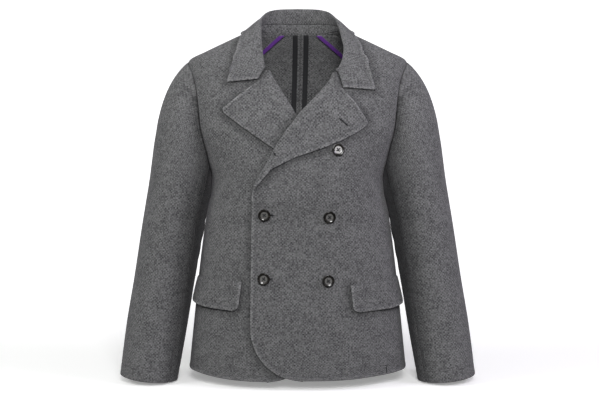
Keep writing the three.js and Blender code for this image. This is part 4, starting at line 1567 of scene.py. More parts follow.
@dataclass
class Sleeve:
    """A two-piece sleeve: a crown sewn into the armhole, then a tube down to the cuff."""

    trunk: Trunk
    armhole: Armhole
    side: Side
    rings: list[SleeveRing] = field(default_factory=lambda: SLEEVE)
    slope: float = 0.115  # rise of a ring for each millimetre outwards
    front_seam: float = 140.0  # degrees from the outer edge round to a seam
    back_seam: float = 120.0
    cuff_line: float = 23.0  # of the hem sewn inside, above the cuff
    tube_levels: int = 100
    crown_levels: int = 62

    def __post_init__(self) -> None:
        """Fits the lines through the rings."""
        names = ("outer", "inner", "front", "back")
        self.outer, self.inner, self.ahead, self.behind = (column(self.rings, n) for n in names)

    def axis(self, z: Array) -> tuple[Array, Array]:
        """Where the tube's middle lies, across and from the front to the back."""
        return (self.outer(z) + self.inner(z)) / 2, (self.behind(z) - self.ahead(z)) / 2

    def ring(self, turn: Array, z: Array) -> Array:
        """Points of the tube.

        Args:
            turn: Turn from its outer edge through the front, in radians.
            z: Level of the ring.

        Returns:
            The points.
        """
        s, c = np.sin(turn), np.cos(turn)
        middle, centre = self.axis(z)
        half = (self.outer(z) - self.inner(z)) / 2
        depth = (self.behind(z) + self.ahead(z)) / 2
        return np.stack([middle + half * c, centre - depth * s, z + self.slope * half * c], axis=-1)

    def crown(self, turn: Array, shares: Array) -> Array:
        """Rows between the armhole and the first ring.

        Args:
            turn: Turn of each column.
            shares: Share of the way down, for each row.

        Returns:
            The rows.
        """
        top = self.rings[-1].z
        s, c = np.sin(turn), np.cos(turn)
        leave = unit(np.stack([0.45 + 0.33 * c, -0.34 * s, -0.8 + 0.15 * c], axis=-1))
        start = self.trunk.place(self.armhole.angle(turn), self.armhole.height(turn)) + leave * SEAM
        end = self.ring(turn, np.full_like(turn, top))
        arrive = unit(self.ring(turn, np.full_like(turn, top - 20)) - end)
        reach = np.linalg.norm(end - start, axis=-1, keepdims=True)
        return curves(start, leave * reach, end, arrive * reach, shares)

    def grid(self, first: float, last: float, columns: int) -> tuple[Array, Array]:
        """The rows of one piece, from the cuff up to the armhole.

        Args:
            first: Turn of its first column, in degrees.
            last: Turn of its last column, in degrees.
            columns: How many columns it has.

        Returns:
            The points and the directions out.
        """
        turn = np.radians(np.linspace(first, last, columns))
        cuff = self.rings[0].z
        above = np.linspace(cuff + 19, self.rings[-1].z, self.tube_levels)
        z = np.concatenate([cuff + np.array(EDGE_STEPS), above])
        tube = self.ring(turn[None], z[:, None])
        head = self.crown(turn, np.linspace(1, 0, self.crown_levels)[1:])
        face = np.concatenate([tube, head])
        out = np.zeros_like(face)
        out[: len(z)] = tube - np.stack([*self.axis(z), z], axis=1)[:, None]
        return face, unit(out + 1e-6)

    def sheet(self, first: float, last: float, columns: int, creases: Sequence[Crease]) -> Sheet:
        """One piece of the sleeve between two turns, with its seams pressed.

        Args:
            first: Turn of its first column, in degrees.
            last: Turn of its last column.
            columns: How many columns it has.
            creases: Its creases.

        Returns:
            The sheet.
        """
        face, out = self.grid(first, last, columns)
        gap = SEAM / 2
        face[:, 0] += unit(face[:, 1] - face[:, 0]) * gap
        face[:, -1] += unit(face[:, -2] - face[:, -1]) * gap
        across = travelled(face, axis=1)
        uv = np.stack([across - across[:, -1:] / 2, travelled(face)], axis=-1)
        seams = (Rim.FIRST_COLUMN, Rim.LAST_COLUMN, Rim.LAST_ROW)
        sheet = Sheet(face, uv, out, seams)
        sheet.crease(creases)
        sheet.press([], [sheet.rim(seam) for seam in seams])
        # The distance from a stitched edge is set so that the wool's painted groove shade falls along
        # the cuff line.
        sheet.edge = STITCH_INSET + np.abs(uv[..., 1] - self.cuff_line)
        felled = 0.45 * hump(uv[..., 1] - self.cuff_line, 2.2)
        sheet.face = sheet.face - sheet.normals() * felled[..., None]
        return sheet.turned_to(self.side)


@dataclass
class Collar:
    """The turned-down collar: a stand up from the neck seam and a fall over its fold."""

    over: Front
    under: Front
    lift: float = 1.0  # of the fall off the shoulders
    stand_share: float = 0.4
    notch_over: tuple[float, float] = (91.0, -131.0)
    notch_under: tuple[float, float] = (79.0, -113.5)
    notch_lift: float = 1.2
    step: float = 2.0

    def __post_init__(self) -> None:
        """Fits lines through the sections, from the wearer's right leaf to the left one."""
        trunk = self.over.trunk
        right = [(Side.RIGHT, row) for row in UNDER_COLLAR[::-1]]
        rows = right + [(Side.LEFT, row) for row in OVER_COLLAR]
        self.ends = (-len(UNDER_COLLAR), len(OVER_COLLAR) - 1)
        places = np.arange(self.ends[0], self.ends[1] + 1)

        def angle(side: Side, x: float, z: float, behind: bool) -> float:
            """The angle round the trunk, from the left front through the back to the right."""
            turned = float(trunk.angle_at(x, z, behind))
            return turned if side is Side.LEFT else 2 * math.pi - turned

        columns = {
            "neck_angle": [angle(s, r.neck_x, r.neck_z, r.behind) for s, r in rows],
            "neck_z": [r.neck_z for _, r in rows],
            "fold_x": [s.value * r.fold_x for s, r in rows],
            "fold_y": [r.fold_y for _, r in rows],
            "fold_z": [r.fold_z for _, r in rows],
            "edge_angle": [angle(s, r.edge_x, r.edge_z, r.behind) for s, r in rows],
            "edge_z": [r.edge_z for _, r in rows],
        }
        self.lines = {name: SmoothLine(places, values) for name, values in columns.items()}
        self.centre = float(trunk.back(BACK_NECK) - trunk.front(BACK_NECK)) / 2

    def stations(self) -> Array:
        """Places round the collar, close together, from the right leaf to the left one."""
        fine = np.linspace(*self.ends, 2000)
        edge = self.section(fine)["edge"]
        s = travelled(edge)
        return np.interp(np.linspace(0, s[-1], int(s[-1] / self.step)), s, fine)

    def section(self, at: Array) -> dict[str, Array]:
        """Neck seam, fold, edge and directions of the sections at some places round.

        Args:
            at: The places.

        Returns:
            Points and directions by name, a row for each place.
        """
        v = {name: line(at) for name, line in self.lines.items()}
        trunk = self.over.trunk
        neck = trunk.lifted(v["neck_angle"], v["neck_z"], -WALL / 2)
        fold = np.stack([v["fold_x"], v["fold_y"], v["fold_z"]], axis=1)
        edge = trunk.lifted(v["edge_angle"], v["edge_z"], WALL + self.lift)
        away = unit(fold * np.array([1, 1, 0]) - np.array([0, self.centre, 0]))
        out = unit(trunk.normal(v["neck_angle"], v["neck_z"]) * 0.8 + away)
        lower = trunk.place(v["edge_angle"], v["edge_z"] - 4)
        slope = unit(lower - trunk.place(v["edge_angle"], v["edge_z"]))
        return {"neck": neck, "fold": fold, "edge": edge, "out": out, "slope": slope}

    def leaf(self, fold: Array, edge: Array, side: Side, t: Array) -> Array:
        """The end of a leaf: down the seam to the notch, then out along its lower edge.

        Args:
            fold: Points on the fold.
            edge: Points on the free edge.
            side: The leaf's side.
            t: Shares of the way between the two.

        Returns:
            The points.
        """
        front = self.over if side is Side.LEFT else self.under
        x, z = self.notch_over if side is Side.LEFT else self.notch_under
        lift = WALL + self.notch_lift
        corner = on_side(front.at(np.array(x), np.array(z), lift), side)
        first = np.linalg.norm(corner - fold, axis=-1, keepdims=True)
        total = first + np.linalg.norm(edge - corner, axis=-1, keepdims=True)
        s = t[None] * total
        down = np.clip(s / first, 0, 1)[..., None]
        outwards = np.clip((s - first) / (total - first), 0, 1)[..., None]
        straight = np.where(
            (s < first)[..., None],
            fold[:, None] * (1 - down) + corner * down,
            corner * (1 - outwards) + edge[:, None] * outwards,
        )
        own = on_side(straight, side)
        arch = 2 * np.sin(math.pi * down[..., 0]) * (s < first)
        laid = front.at(own[..., 0], own[..., 2], lift + arch)
        laid[:, 0] = on_side(fold, side)
        return on_side(laid, side)

    def fall(self) -> Sheet:
        """The fall's cloth: up inside from the stand's seam, over the fold and down outside."""
        at = self.stations()
        s = self.section(at)
        neck, fold, edge, out = s["neck"], s["fold"], s["edge"], s["out"]
        seam = neck + (fold - neck) * self.stand_share - out * WALL / 2
        inside = curves(seam, (fold - neck) * 0.75, fold, out * 9, np.linspace(0, 1, 14)[:-1])
        reach = np.linalg.norm(edge - fold, axis=1, keepdims=True)
        t = np.concatenate([np.linspace(0, 0.12, 9)[:-1], np.linspace(0.12, 1, 44)])
        outside = curves(fold, out * reach * 0.4, edge, s["slope"] * reach * 0.75, t)
        inside, outside = inside.swapaxes(0, 1), outside.swapaxes(0, 1)
        for side, last in ((Side.RIGHT, self.ends[0]), (Side.LEFT, self.ends[1])):
            share = np.clip(1 - np.abs(at - last), 0, 1)
            here = share > 0
            shaped = self.leaf(fold[here], edge[here], side, t)
            part = share[here][:, None, None]
            outside[here] = outside[here] * (1 - part) + shaped * part
        x, y, z = (outside[..., k] for k in range(3))
        need = np.where((x > 0) & (y < 0), self.over.lift(x, z), 0) + WALL + self.lift
        outside[:, 1:] = self.over.trunk.clear(outside, need)[:, 1:]
        face = np.concatenate([inside, outside], axis=1)
        along = travelled(face[:, 40])[:, None]
        uv = np.stack(np.broadcast_arrays(along, travelled(face, axis=1)), axis=-1)
        outward = np.zeros_like(face)
        outward[:, 30:] = np.repeat(out[:, None], face.shape[1] - 30, axis=1)
        sheet = Sheet(face, uv, outward)
        ends = []
        for row, (x, z), side in ((0, self.notch_under, Side.RIGHT), (-1, self.notch_over, Side.LEFT)):
            gap = np.abs(face[row, :, 0] * side.value - x) + np.abs(face[row, :, 2] - z)
            ends.append((row, int(np.argmin(gap))))
        stitched = [sheet.rim(Rim.LAST_COLUMN)] + [face[row, k:] for row, k in ends]
        sewn = [face[row, 14:k] for row, k in ends] + [sheet.rim(Rim.FIRST_COLUMN)]
        sheet.press(stitched, sewn, 0.7)
        return sheet

    def stand(self) -> Sheet:
        """The stand's cloth: a band from the neck seam to the fall's seam."""
        at = self.stations()
        at = at[(at > self.ends[0] + 1) & (at < self.ends[1] - 1)]
        s = self.section(at)
        up = s["fold"] - s["neck"]
        height = np.linalg.norm(up, axis=1, keepdims=True) * self.stand_share
        up = unit(up)
        low = s["neck"] - up * SEAM
        high = s["neck"] + up * (height - 2 * SEAM)
        t = np.linspace(0, 1, 9)[None, :, None]
        face = low[:, None] * (1 - t) + high[:, None] * t - (s["out"] * WALL / 2)[:, None]
        tall = np.linalg.norm(face - face[:, :1], axis=-1)
        uv = np.stack(np.broadcast_arrays(travelled(low)[:, None], tall), axis=-1)
        outward = np.repeat(-s["out"][:, None], face.shape[1], axis=1)
        sheet = Sheet(face, uv, outward, tuple(Rim))
        sheet.press([], [sheet.rim(Rim.FIRST_COLUMN), sheet.rim(Rim.LAST_COLUMN)])
        return sheet


FLAP_EDGES = (Rim.FIRST_COLUMN, Rim.FIRST_ROW, Rim.LAST_COLUMN)


@dataclass
class Flap:
    """A pocket flap that lies on a front, with two round lower corners."""

    front: Front
    inner_top: float
    inner_bottom: float
    outer_top: float
    outer_bottom: float
    bottom: float
    tilt: float  # of the lower edge, up towards the side
    top_tilt: float
    top: float = -518.0
    radius: float = 12.0
    flare: float = 4.0  # of the outer lower corner
    step: float = 1.6
    columns: int = 66

    def share_down(self, z: Array) -> Array:
        """The share of the way from the upper to the lower edge."""
        return (self.top - z) / (self.top - self.bottom)

    def sheet(self) -> Sheet:
        """The flap's cloth."""
        z = np.linspace(self.bottom, self.top, int((self.top - self.bottom) / self.step))
        z[:8] = self.bottom + (z[8] - self.bottom) * (np.arange(8) / 8) ** 1.5
        share = self.share_down(z)
        up = np.clip(self.radius - (z - self.bottom), 0, self.radius)
        inset = self.radius - np.sqrt(self.radius**2 - up**2)
        inner = self.inner_top + (self.inner_bottom - self.inner_top) * share + inset
        depth = self.outer_top + (self.outer_bottom - self.outer_top) * share + 0.8 * inset
        trunk = self.front.trunk
        start, end = trunk.angle_at(inner, z), trunk.angle_at_depth(depth, z, False)

        def stand_off(x: Array, level: Array) -> Array:
            """Height of the flap's outer side over the trunk."""
            low = self.share_down(level)
            far = rise((x - 150) / 55)
            return self.front.lift(x, level) + PLY + WALL + low * (1 + far * self.flare)

        def shift(t: Array, level: Array) -> Array:
            """How far a row tilts up towards the side."""
            low = self.share_down(level)
            return self.tilt * t * low - self.top_tilt * (1 - t) * (1 - low)

        def places(total: float) -> Array:
            """Even places along a row of a length."""
            return np.linspace(0, total, self.columns)

        face, uv, normal = trunk_rows(trunk, start, end, z, stand_off, places, 0.0, shift)
        sheet = Sheet(face, uv, normal, (Rim.LAST_ROW,))
        sheet.press([sheet.rim(r) for r in FLAP_EDGES], [sheet.rim(Rim.LAST_ROW)], 0.7)
        return sheet.turned_to(self.front.side)


@dataclass
class BackTrims:
    """What shows inside the neck: bound seam allowances, facings and the tape on them."""

    back: Back
    tape: float = 10.0
    apart: float = 13.4
    tape_bottom: float = -690.0
    facing_inner: float = 36.0
    facing_slope: float = 0.86
    facing_bottom: float = -96.0
    facing_lift: float = 1.2
    facing_wall: float = 2.0
    ribbon: float = 9.5

    def strip(
        self,
        z: Array,
        start: Array,
        end: Array,
        lift: float,
        wall: float,
        count: int,
    ) -> Sheet:
        """A strip against the inside of the back, between two lines from the centre.

        Args:
            z: Height of each row.
            start: How far from the centre it starts.
            end: How far from the centre it ends.
            lift: How far it lies off the cloth.
            wall: Its thickness.
            count: How many columns it has.

        Returns:
            The strip.
        """
        share = np.linspace(0, 1, count)
        x = start[:, None] + (end - start)[:, None] * share
        level = np.broadcast_to(z[:, None], x.shape)
        angle = self.back.trunk.angle_at(x, level, behind=True)
        face = self.back.trunk.lifted(angle, level, -WALL - lift - wall)
        outward = -self.back.trunk.normal(angle, level)
        return Sheet(face, np.stack([x, level], axis=-1), outward, (), wall)

    def seam_tape(self, side: Side) -> Sheet:
        """The black tape over the edge of a seam allowance.

        Args:
            side: The wearer's side.

        Returns:
            The tape.
        """
        z = np.linspace(self.tape_bottom, BACK_NECK - 0.8, 180)
        near = self.back.seam(z) + side.value * self.apart / 2
        far = near + side.value * self.tape
        return self.strip(z, near, far, PLY, TAPE_WALL, 7)

    def across(self, z: Array, side: Side) -> Array:
        """How far from the centre a facing starts at a height."""
        shift = 6 if side is Side.LEFT else -6
        return self.facing_inner + (BACK_NECK - z) / self.facing_slope + shift

    def facing(self, side: Side) -> Sheet:
        """The facing beside the neck.

        Args:
            side: The wearer's side.

        Returns:
            The facing.
        """
        z = np.linspace(self.facing_bottom, BACK_NECK - 0.8, 30)
        start = self.across(z, side)
        end = np.maximum(start + 9, 0.76 * self.back.trunk.half(z))
        start, end = side.value * start, side.value * end
        return self.strip(z, start, end, self.facing_lift, self.facing_wall, 24)

    def neck_tape(self, side: Side) -> Sheet:
        """The purple tape on the facing's edge.

        Args:
            side: The wearer's side.

        Returns:
            The tape.
        """
        z = np.linspace(self.facing_bottom, BACK_NECK - 0.8, 40)
        start = self.across(z, side) - 1.5
        end = self.across(z, side) + self.ribbon
        lift = self.facing_lift + self.facing_wall + SEAM
        return self.strip(z, side.value * start, side.value * end, lift, TAPE_WALL, 6)


@dataclass
class Button:
    """A dished four-hole button with a rounded rim, sewn on with a cross of thread."""

    radius: float = 12.5
    thickness: float = 4.2
    bowl: tuple[tuple[float, float], ...] = (
        (2.2, 0.0), (0.7, 0.12), (0.8, 0.38), (0.8, 0.46), (0.9, 0.3), (1.0, 0.1), (1.6, 0.0),
    )  # width and drop of each step of its face, from the rim inwards
    dish: float = 1.36
    edge_round: float = 0.9
    hole: float = 1.4
    spread: float = 3.4  # of the holes from the middle
    strand: float = 0.75  # radius of a bar of thread
    strand_shift: float = 0.5  # of the two bars over one pair of holes, to either side
    strand_dip: float = 1.6  # of its ends into the holes

    def disc(self) -> bpy.types.Mesh:
        """The button, its back at height 0 and its face towards +Z."""
        bpy.ops.object.select_all(action="DESELECT")
        bpy.ops.mesh.primitive_cylinder_add(
            vertices=48, radius=self.radius * MM, depth=self.thickness * MM, end_fill_type="NGON"
        )
        disc = bpy.context.object
        bpy.ops.object.mode_set(mode="EDIT")
        bpy.ops.mesh.select_mode(type="FACE")
        bpy.ops.mesh.select_all(action="DESELECT")
        bpy.ops.object.mode_set(mode="OBJECT")
        for face in disc.data.polygons:
            face.select = face.normal.z > 0.9
        bpy.ops.object.mode_set(mode="EDIT")
        for width, drop in self.bowl:
            bpy.ops.mesh.inset(thickness=width * MM, depth=-drop * MM)
        bpy.ops.object.mode_set(mode="OBJECT")
        bevel = disc.modifiers.new("round", "BEVEL")
        bevel.width, bevel.segments, bevel.limit_method = self.edge_round * MM, 4, "ANGLE"
        bevel.angle_limit = math.radians(35)
        bpy.ops.object.modifier_apply(modifier="round")
        for k in range(4):
            turn = (k + 0.5) * math.pi / 2
            place = (self.spread * math.cos(turn) * MM, self.spread * math.sin(turn) * MM, 0)
            bpy.ops.mesh.primitive_cylinder_add(
                vertices=20, radius=self.hole * MM, depth=4 * self.thickness * MM, location=place
            )
            drill = bpy.context.object
            bpy.ops.object.select_all(action="DESELECT")
            bpy.context.view_layer.objects.active = disc
            disc.select_set(True)
            cut = disc.modifiers.new("hole", "BOOLEAN")
            cut.object, cut.solver = drill, "EXACT"
            bpy.ops.object.modifier_apply(modifier="hole")
            bpy.data.objects.remove(drill)
        bpy.ops.object.shade_smooth_by_angle(angle=math.radians(38))
        mesh = disc.data.copy()
        bpy.data.objects.remove(disc)
        distances = mesh.attributes.new("radius", "FLOAT", "POINT")
        for vertex, distance in zip(mesh.vertices, distances.data):
            vertex.co.z += self.thickness / 2 * MM
            distance.value = math.hypot(vertex.co.x, vertex.co.y) / MM
        return mesh

    def cross(self) -> bpy.types.Mesh:
        """The thread: two bars over the holes that go down into them."""
        bpy.ops.object.select_all(action="DESELECT")
        bars = []
        level = self.thickness - self.dish + 0.25
        for turn in (45, -45):
            for shift in (-self.strand_shift, self.strand_shift):
                bpy.ops.mesh.primitive_cylinder_add(
                    vertices=10, radius=self.strand * MM, depth=2 * self.spread * MM * 1.05
                )
                bar = bpy.context.object
                bpy.ops.object.mode_set(mode="EDIT")
                bpy.ops.mesh.select_all(action="SELECT")
                bpy.ops.mesh.subdivide(number_cuts=4)
                bpy.ops.object.mode_set(mode="OBJECT")
                for v in bar.data.vertices:
                    drop = self.strand_dip * MM * abs(v.co.z / (self.spread * MM)) ** 4
                    v.co = Vector((v.co.z, v.co.x + shift * MM, v.co.y + level * MM - drop))
                bar.rotation_euler = (0, 0, math.radians(turn))
                bars.append(bar)
        for bar in bars:
            bar.select_set(True)
        bpy.context.view_layer.objects.active = bars[0]
        bpy.ops.object.join()
        bpy.ops.object.transform_apply(location=True, rotation=True, scale=True)
        bpy.ops.object.shade_smooth_by_angle(angle=math.radians(50))
        joined = bpy.context.object
        mesh = joined.data.copy()
        bpy.data.objects.remove(joined)
        return mesh


@dataclass
class WorkedSlit:
    """A buttonhole or a bar tack: close bars of thread on both sides of a slit."""

    start: tuple[float, float]
    end: tuple[float, float]
    half: float = 1.3
    pitch: float = 0.9
    height: float = 0.8

    def mesh(self, name: str, sheet: Sheet) -> bpy.types.Mesh:
        """The thread, laid on a sheet between two places seen from the front.

        Args:
            name: The mesh's name.
            sheet: The cloth that it is worked in.

        Returns:
            The mesh.
        """
        run = np.array(self.end) - np.array(self.start)
        length = float(np.linalg.norm(run))
        ahead = run / length
        beside = np.array([-ahead[1], ahead[0]])
        corners, faces = [], []
        order = ((0, 1, 3, 2), (4, 6, 7, 5), (0, 4, 5, 1), (2, 3, 7, 6), (0, 2, 6, 4), (1, 5, 7, 3))
        for k in range(max(2, int(length / self.pitch))):
            along = (k + 0.5) * self.pitch
            for side in (-1, 1):
                base = len(corners)
                for up in (-0.8, self.height):
                    for reach in (0.2, self.half):
                        for ahead_by in (-0.42, 0.42):
                            flat = ahead * (along + ahead_by * self.pitch) + beside * side * reach
                            corners.append((*(np.array(self.start) + flat), up))
                faces += [[base + n for n in (q if side > 0 else q[::-1])] for q in order]
        return mesh_of(name, self.laid(sheet, np.array(corners)), np.array(faces))

    def laid(self, sheet: Sheet, flat: Array) -> Array:
        """Places seen from the front, put on the cloth.

        Args:
            sheet: The cloth.
            flat: Distance to the wearer's left, height, and height over the cloth, a row each.

        Returns:
            The points.
        """
        face, normals = sheet.face.reshape(-1, 3), sheet.normals().reshape(-1, 3)
        points = []
        for x, z, up in flat:
            gap = (face[:, 0] - x) ** 2 + (face[:, 2] - z) ** 2
            near = int(np.argmin(gap + FAR * (normals[:, 1] > 0)))
            at, normal = face[near], normals[near]
            y = at[1] - ((x - at[0]) * normal[0] + (z - at[2]) * normal[2]) / normal[1]
            points.append(np.array([x, y, z]) + normal * up)
        return np.array(points)


FRONT_CREASES_OVER = table(
    Crease,
    (150, 300, 215, 420, 16, 1.0), (120, 250, 190, 330, 22, 0.7), (60, 20, 95, 210, 26, 0.8),
    (165, 10, 150, 190, 24, -1.0), (205, 20, 215, 150, 15, 0.9),
)
FRONT_CREASES_UNDER = table(
    Crease,
    (140, 310, 205, 425, 17, 1.0), (190, 15, 175, 170, 22, -1.0), (120, 15, 140, 180, 20, 0.8),
    (215, 30, 225, 140, 14, 0.8),
)
BACK_CREASES = table(
    Crease,
    (60, 20, 75, 300, 26, 1.1), (120, 10, 105, 260, 22, -1.2), (180, 15, 190, 240, 20, 1.0),
    (40, 330, 170, 360, 22, 1.2), (90, 370, 200, 410, 18, 0.9), (70, 560, 190, 520, 24, 0.8),
)
UPPER_CREASES = table(
    Crease,
    (-95, 330, -20, 300, 14, 0.9), (-90, 290, -30, 270, 10, 0.6), (95, 315, 35, 290, 13, 0.8),
    (-60, 480, 10, 520, 18, 0.7), (-40, 60, -20, 190, 16, 0.5),
)
UNDER_CREASES = table(
    Crease,
    (-60, 300, 60, 285, 12, 1.3), (-55, 335, 50, 345, 10, 1.0), (-50, 260, 45, 245, 10, 0.7),
)

FOLD_COLUMN = 7  # of a lapel, halfway round its fold


@dataclass
class PeaCoat:
    """The whole coat, made of its cut and sewn pieces."""

    sewing: Sewing
    trunk: Trunk = field(default_factory=Trunk)
    outlines: dict[str, list[Array]] = field(default_factory=dict)

    def __post_init__(self) -> None:
        """Sets out the fronts and the backs."""
        self.armhole = Armhole(self.trunk)
        self.over = Front(
            self.trunk, self.armhole, Side.LEFT, -718.0, OVER_LAPEL, OVER_NECKLINE,
            -85.9, -91.0, -94.0, 104.0, over=True, bend=3.4, hem_rise=(-3.0, 3.0),
        )
        self.under = Front(
            self.trunk, self.armhole, Side.RIGHT, -722.0, UNDER_LAPEL, UNDER_NECKLINE,
            -88.0, -66.0, -38.0, 100.0, over=False, bend=0.0, hem_rise=(-2.0, 6.5),
        )

    def sewn(self, name: str, sheet: Sheet, hold: Hold, rests_on: Sequence[str] = ()) -> None:
        """A cloth piece with its topstitching."""
        stitches = self.sewing.topstitch(f"topstitch_{name}", sheet)
        self.sewing.cloth(name, sheet, hold, rests_on=rests_on, with_pieces=stitches)

    def slit(self, name: str, slit: WorkedSlit, sheet: Sheet) -> None:
        """A buttonhole or tack in a sheet."""
        piece = link(name, slit.mesh(name, sheet), self.sewing.finishes.dark_thread)
        self.sewing.fix(piece, "wool")

    def covered(self, sheet: Sheet, *over: str) -> Sheet:
        """A sheet that knows how far it lies from the outlines of the pieces over it, which the wool
        darkens as their painted shadow.
        """
        sheet.under = sheet.distance([line for name in over for line in self.outlines[name]])
        return sheet

    def body(self) -> None:
        """The fronts and the backs."""
        left = self.covered(self.over.sheet(FRONT_CREASES_OVER), "lapel_left", "collar", "flap_left")
        low = left.face[:, 0][left.face[:, 0, 2] < self.over.lapel[-1].z + 10]
        self.outlines["front_left"] = [low]
        self.sewn("front_left", left, Hold.HUNG)
        right = self.covered(
            self.under.sheet(FRONT_CREASES_UNDER),
            "lapel_right", "collar", "flap_right", "front_left", "fold_left",
        )
        self.sewn("front_right", right, Hold.HUNG)
        for name, sheet, start, end, half in (
            ("buttonhole_2", left, (-76, -382), (-47.5, -382.5), 1.5),
            ("buttonhole_4", left, (-78, -511), (-49, -511.5), 1.5),
            ("vent_left", left, (183, -713), (183, -699), 0.7),
            ("vent_tack_left", left, (178.5, -697), (186, -697), 0.7),
            ("vent_tack_right", right, (-211, -689), (-203, -689.5), 0.6),
        ):
            self.slit(name, WorkedSlit(start, end, half), sheet)
        for side in Side:
            back = Back(self.trunk, self.armhole, side)
            self.sewn(f"back_{side.name.lower()}", back.sheet(BACK_CREASES), Hold.HUNG)

    def sleeves(self) -> None:
        """The two sleeves, each an upper and an under piece."""
        for side in Side:
            sleeve = Sleeve(self.trunk, self.armhole, side)
            word, ahead, behind = side.name.lower(), sleeve.front_seam, sleeve.back_seam
            upper = sleeve.sheet(-behind, ahead, 84, UPPER_CREASES)
            under = sleeve.sheet(ahead, 360 - behind, 38, UNDER_CREASES)
            # How near each point of a sleeve lies to the trunk; the wool turns it into painted shade
            # on the sleeve's side next to the body.
            half = np.linspace(0, math.pi, 90)
            rings = [self.trunk.place(half, np.full(90, z)) for z in np.arange(-718.0, -150.0, 12.0)]
            for name, sheet in (("upper", upper), ("under", under)):
                near = sheet.distance([on_side(ring, side) for ring in rings])
                high = rise((sheet.face[..., 2] + 330) / 110)
                sheet.under = near * (high + (1 - high) * near / 240)
                self.sewing.cloth(f"sleeve_{name}_{word}", sheet, Hold.HUNG)

    def lapels(self) -> None:
        """The lapels."""
        left = Lapel(self.over, 2.4).sheet()
        right = Lapel(self.under, 0.8).sheet()
        self.outlines["lapel_left"] = [left.rim(Rim.LAST_COLUMN)]
        self.outlines["lapel_right"] = [right.rim(Rim.LAST_COLUMN)]
        self.outlines["fold_left"] = [left.face[:, FOLD_COLUMN]]
        self.sewn("lapel_left", self.covered(left, "collar"), Hold.FOLDED, ("front_left",))
        self.covered(right, "collar", "fold_left")
        self.sewn("lapel_right", right, Hold.FOLDED, ("front_right",))
        self.slit("buttonhole_lapel", WorkedSlit((83, -189), (101, -205)), left)
        self.slit("fold_tack", WorkedSlit((-46.5, -257.5), (-42.5, -264.5)), left)

    def collar(self) -> None:
        """The collar's fall and stand."""
        collar = Collar(self.over, self.under)
        fall = collar.fall()
        ends = [fall.face[0, 16:], fall.face[-1, 16:]]
        self.outlines["collar"] = [fall.rim(Rim.LAST_COLUMN), *ends]
        self.sewn("collar_fall", fall, Hold.FOLDED)
        self.sewing.cloth("collar_stand", collar.stand(), Hold.HUNG)

    def flaps(self) -> None:
        """The pocket flaps."""
        left = Flap(self.over, 106, 113, 34, 16, -581.0, 4.0, 8.0)
        right = Flap(self.under, 113, 121, 34, 16, -579.0, 7.0, 0.0)
        for word, flap in (("left", left), ("right", right)):
            sheet = flap.sheet()
            self.outlines[f"flap_{word}"] = [sheet.rim(rim) for rim in FLAP_EDGES]
            self.sewn(f"flap_{word}", sheet, Hold.HUNG, rests_on=(f"front_{word}",))

    def trims(self) -> None:
        """The tapes and facings inside the back."""
        trims = BackTrims(Back(self.trunk, self.armhole, Side.LEFT))
        finishes = self.sewing.finishes
        for side in Side:
            word = side.name.lower()
            for name, sheet, finish, slot, below in (
                ("seam_tape", trims.seam_tape(side), finishes.binding, "binding", "back"),
                ("neck_facing", trims.facing(side), finishes.wool, "wool", "back"),
                ("neck_tape", trims.neck_tape(side), finishes.ribbon, "ribbon", "neck_facing"),
            ):
                rests_on = (f"{below}_{word}",)
                self.sewing.cloth(f"{name}_{word}", sheet, Hold.LAID, finish, slot, rests_on)

    def buttons(self) -> None:
        """The buttons on the over front, with their thread."""
        button = Button()
        disc, cross = button.disc(), button.cross()
        places = ((78.8, -252.7), (-64.9, -382), (62.9, -386), (-67.2, -511), (61.2, -515))
        for number, (x, z) in enumerate(places, 1):
            spot = self.over.at(np.array(x), np.array(z), PLY)
            reach = 0.7 * button.radius
            across = self.over.at(np.array(x + reach), np.array(z), PLY) - spot
            up = self.over.at(np.array(x), np.array(z + reach), PLY) - spot
            normal = Vector(unit(np.cross(across, up)))
            turn = Vector((0, 0, 1)).rotation_difference(normal).to_matrix().to_4x4()
            turn.translation = Vector(spot) * MM
            # The first button's pale middle is a painted reflection.
            horn = self.sewing.finishes.horn_painted_reflection if number == 1 else self.sewing.finishes.horn
            for name, mesh, finish in (
                (f"button_{number}", disc, horn),
                (f"button_thread_{number}", cross, self.sewing.finishes.dark_thread),
            ):
                own = mesh.copy()
                own.transform(turn)
                own.materials.clear()
                piece = link(f"{name}_made", own, finish)
                nodes = (name,) if mesh is disc else ()
                self.sewing.fix(piece, "horn", *nodes)

    def make(self) -> None:
        """Makes every piece."""
        for step in (
            self.collar, self.lapels, self.flaps, self.body, self.sleeves, self.trims, self.buttons,
        ):
            step()


class Lamp(NamedTuple):
    """A square soft light: its place and width in metres, its power in watts and its colour."""

    name: str
    place: tuple[float, float, float]
    width: float
    power: float
    colour: str


LAMPS = table(
    Lamp,
    ("left", (-2.4, -0.9, 1.1), 1.0, 25, "#fdfffb"),
    ("right", (2.4, -0.9, 1.1), 1.0, 28, "#f4ecff"),
    ("front", (0.2, -2.9, 1.1), 1.2, 74, "#ffffff"),
)


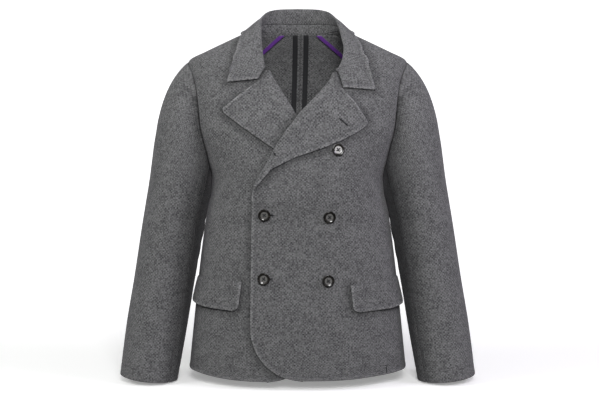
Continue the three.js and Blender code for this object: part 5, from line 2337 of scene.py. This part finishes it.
@dataclass
class Studio:
    """A white sweep, soft lights and the camera, set out in metres."""

    floor: float = -742.0  # millimetres, as the coat
    sweep_width: float = 14.0
    sweep_front: float = -7.0
    sweep_back: float = 3.2
    sweep_radius: float = 1.6
    sweep_top: float = 6.0
    aim: tuple[float, float, float] = (0, 0, -0.4)  # of the lamps
    air_strength: float = 0.27
    air_from_below: float = 0.06
    camera_place: tuple[float, float, float] = (0.005, -2.4, -0.1533)
    camera_turn: float = 85.0  # degrees up from straight down
    lens: float = 68.58  # millimetres
    sensor: float = 36.0  # millimetres

    def sweep(self) -> None:
        """The floor that curves up into a backdrop."""
        bpy.ops.object.select_all(action="DESELECT")
        radius, back = self.sweep_radius, self.sweep_back
        line = [(self.sweep_front, 0.0)]
        line += [
            (back - radius + radius * math.sin(a), radius - radius * math.cos(a))
            for a in np.linspace(0, math.pi / 2, 16)
        ]
        line.append((back, self.sweep_top))
        half = self.sweep_width / 2
        points = [(x, y, self.floor * MM + z) for y, z in line for x in (-half, half)]
        faces = [(2 * k, 2 * k + 1, 2 * k + 3, 2 * k + 2) for k in range(len(line) - 1)]
        mesh = bpy.data.meshes.new("sweep")
        mesh.from_pydata(points, [], faces)
        mesh.shade_smooth()
        sweep = link("sweep", mesh, StudioPaint("matt_white_paint").build())
        sweep.visible_diffuse = sweep.visible_glossy = False

    def light(self, lamp: Lamp) -> None:
        """Sets up a lamp, aimed at the coat.

        Args:
            lamp: The lamp.
        """
        data = bpy.data.lights.new(lamp.name, "AREA")
        data.shape, data.size, data.energy = "SQUARE", lamp.width, lamp.power
        data.color = linear(lamp.colour)[:3]
        light = bpy.data.objects.new(lamp.name, data)
        light.location = lamp.place
        way = Vector(self.aim) - Vector(lamp.place)
        light.rotation_euler = way.to_track_quat("-Z", "Y").to_euler()
        bpy.context.scene.collection.objects.link(light)

    def camera(self) -> None:
        """The camera, level with the chest and tilted a little down."""
        data = bpy.data.cameras.new("camera")
        data.sensor_width, data.lens = self.sensor, self.lens
        camera = bpy.data.objects.new("camera", data)
        camera.location = self.camera_place
        camera.rotation_euler = (math.radians(self.camera_turn), 0, 0)
        bpy.context.scene.collection.objects.link(camera)
        bpy.context.scene.camera = camera

    def air(self) -> bpy.types.World:
        """The room's even light, which hardly comes from below."""
        world = bpy.data.worlds.new("studio_air")
        world.use_nodes = True
        tree = ShaderTree(world.node_tree)
        way = tree.add("TexCoord", output="Generated")
        up = tree.add("SeparateXYZ", {}, {"Vector": way}, "Z")
        strength = tree.ramp(up, -0.5, 0.3, self.air_from_below, self.air_strength)
        background = world.node_tree.nodes["Background"]
        background.inputs["Color"].default_value = (1, 1, 1, 1)
        world.node_tree.links.new(strength, background.inputs["Strength"])
        return world

    def make(self) -> None:
        """Makes the sweep, the lights and the camera."""
        self.camera()
        self.sweep()
        for lamp in LAMPS:
            self.light(lamp)
        bpy.context.scene.world = self.air()
        bpy.context.scene.view_settings.view_transform = "Standard"


def main() -> None:
    """Builds the studio and the coat, piece by piece."""
    logging.basicConfig(level=logging.INFO, format="%(message)s")
    Studio().make()
    PeaCoat(Sewing(Finishes())).make()


if __name__ == "__main__":
    main()
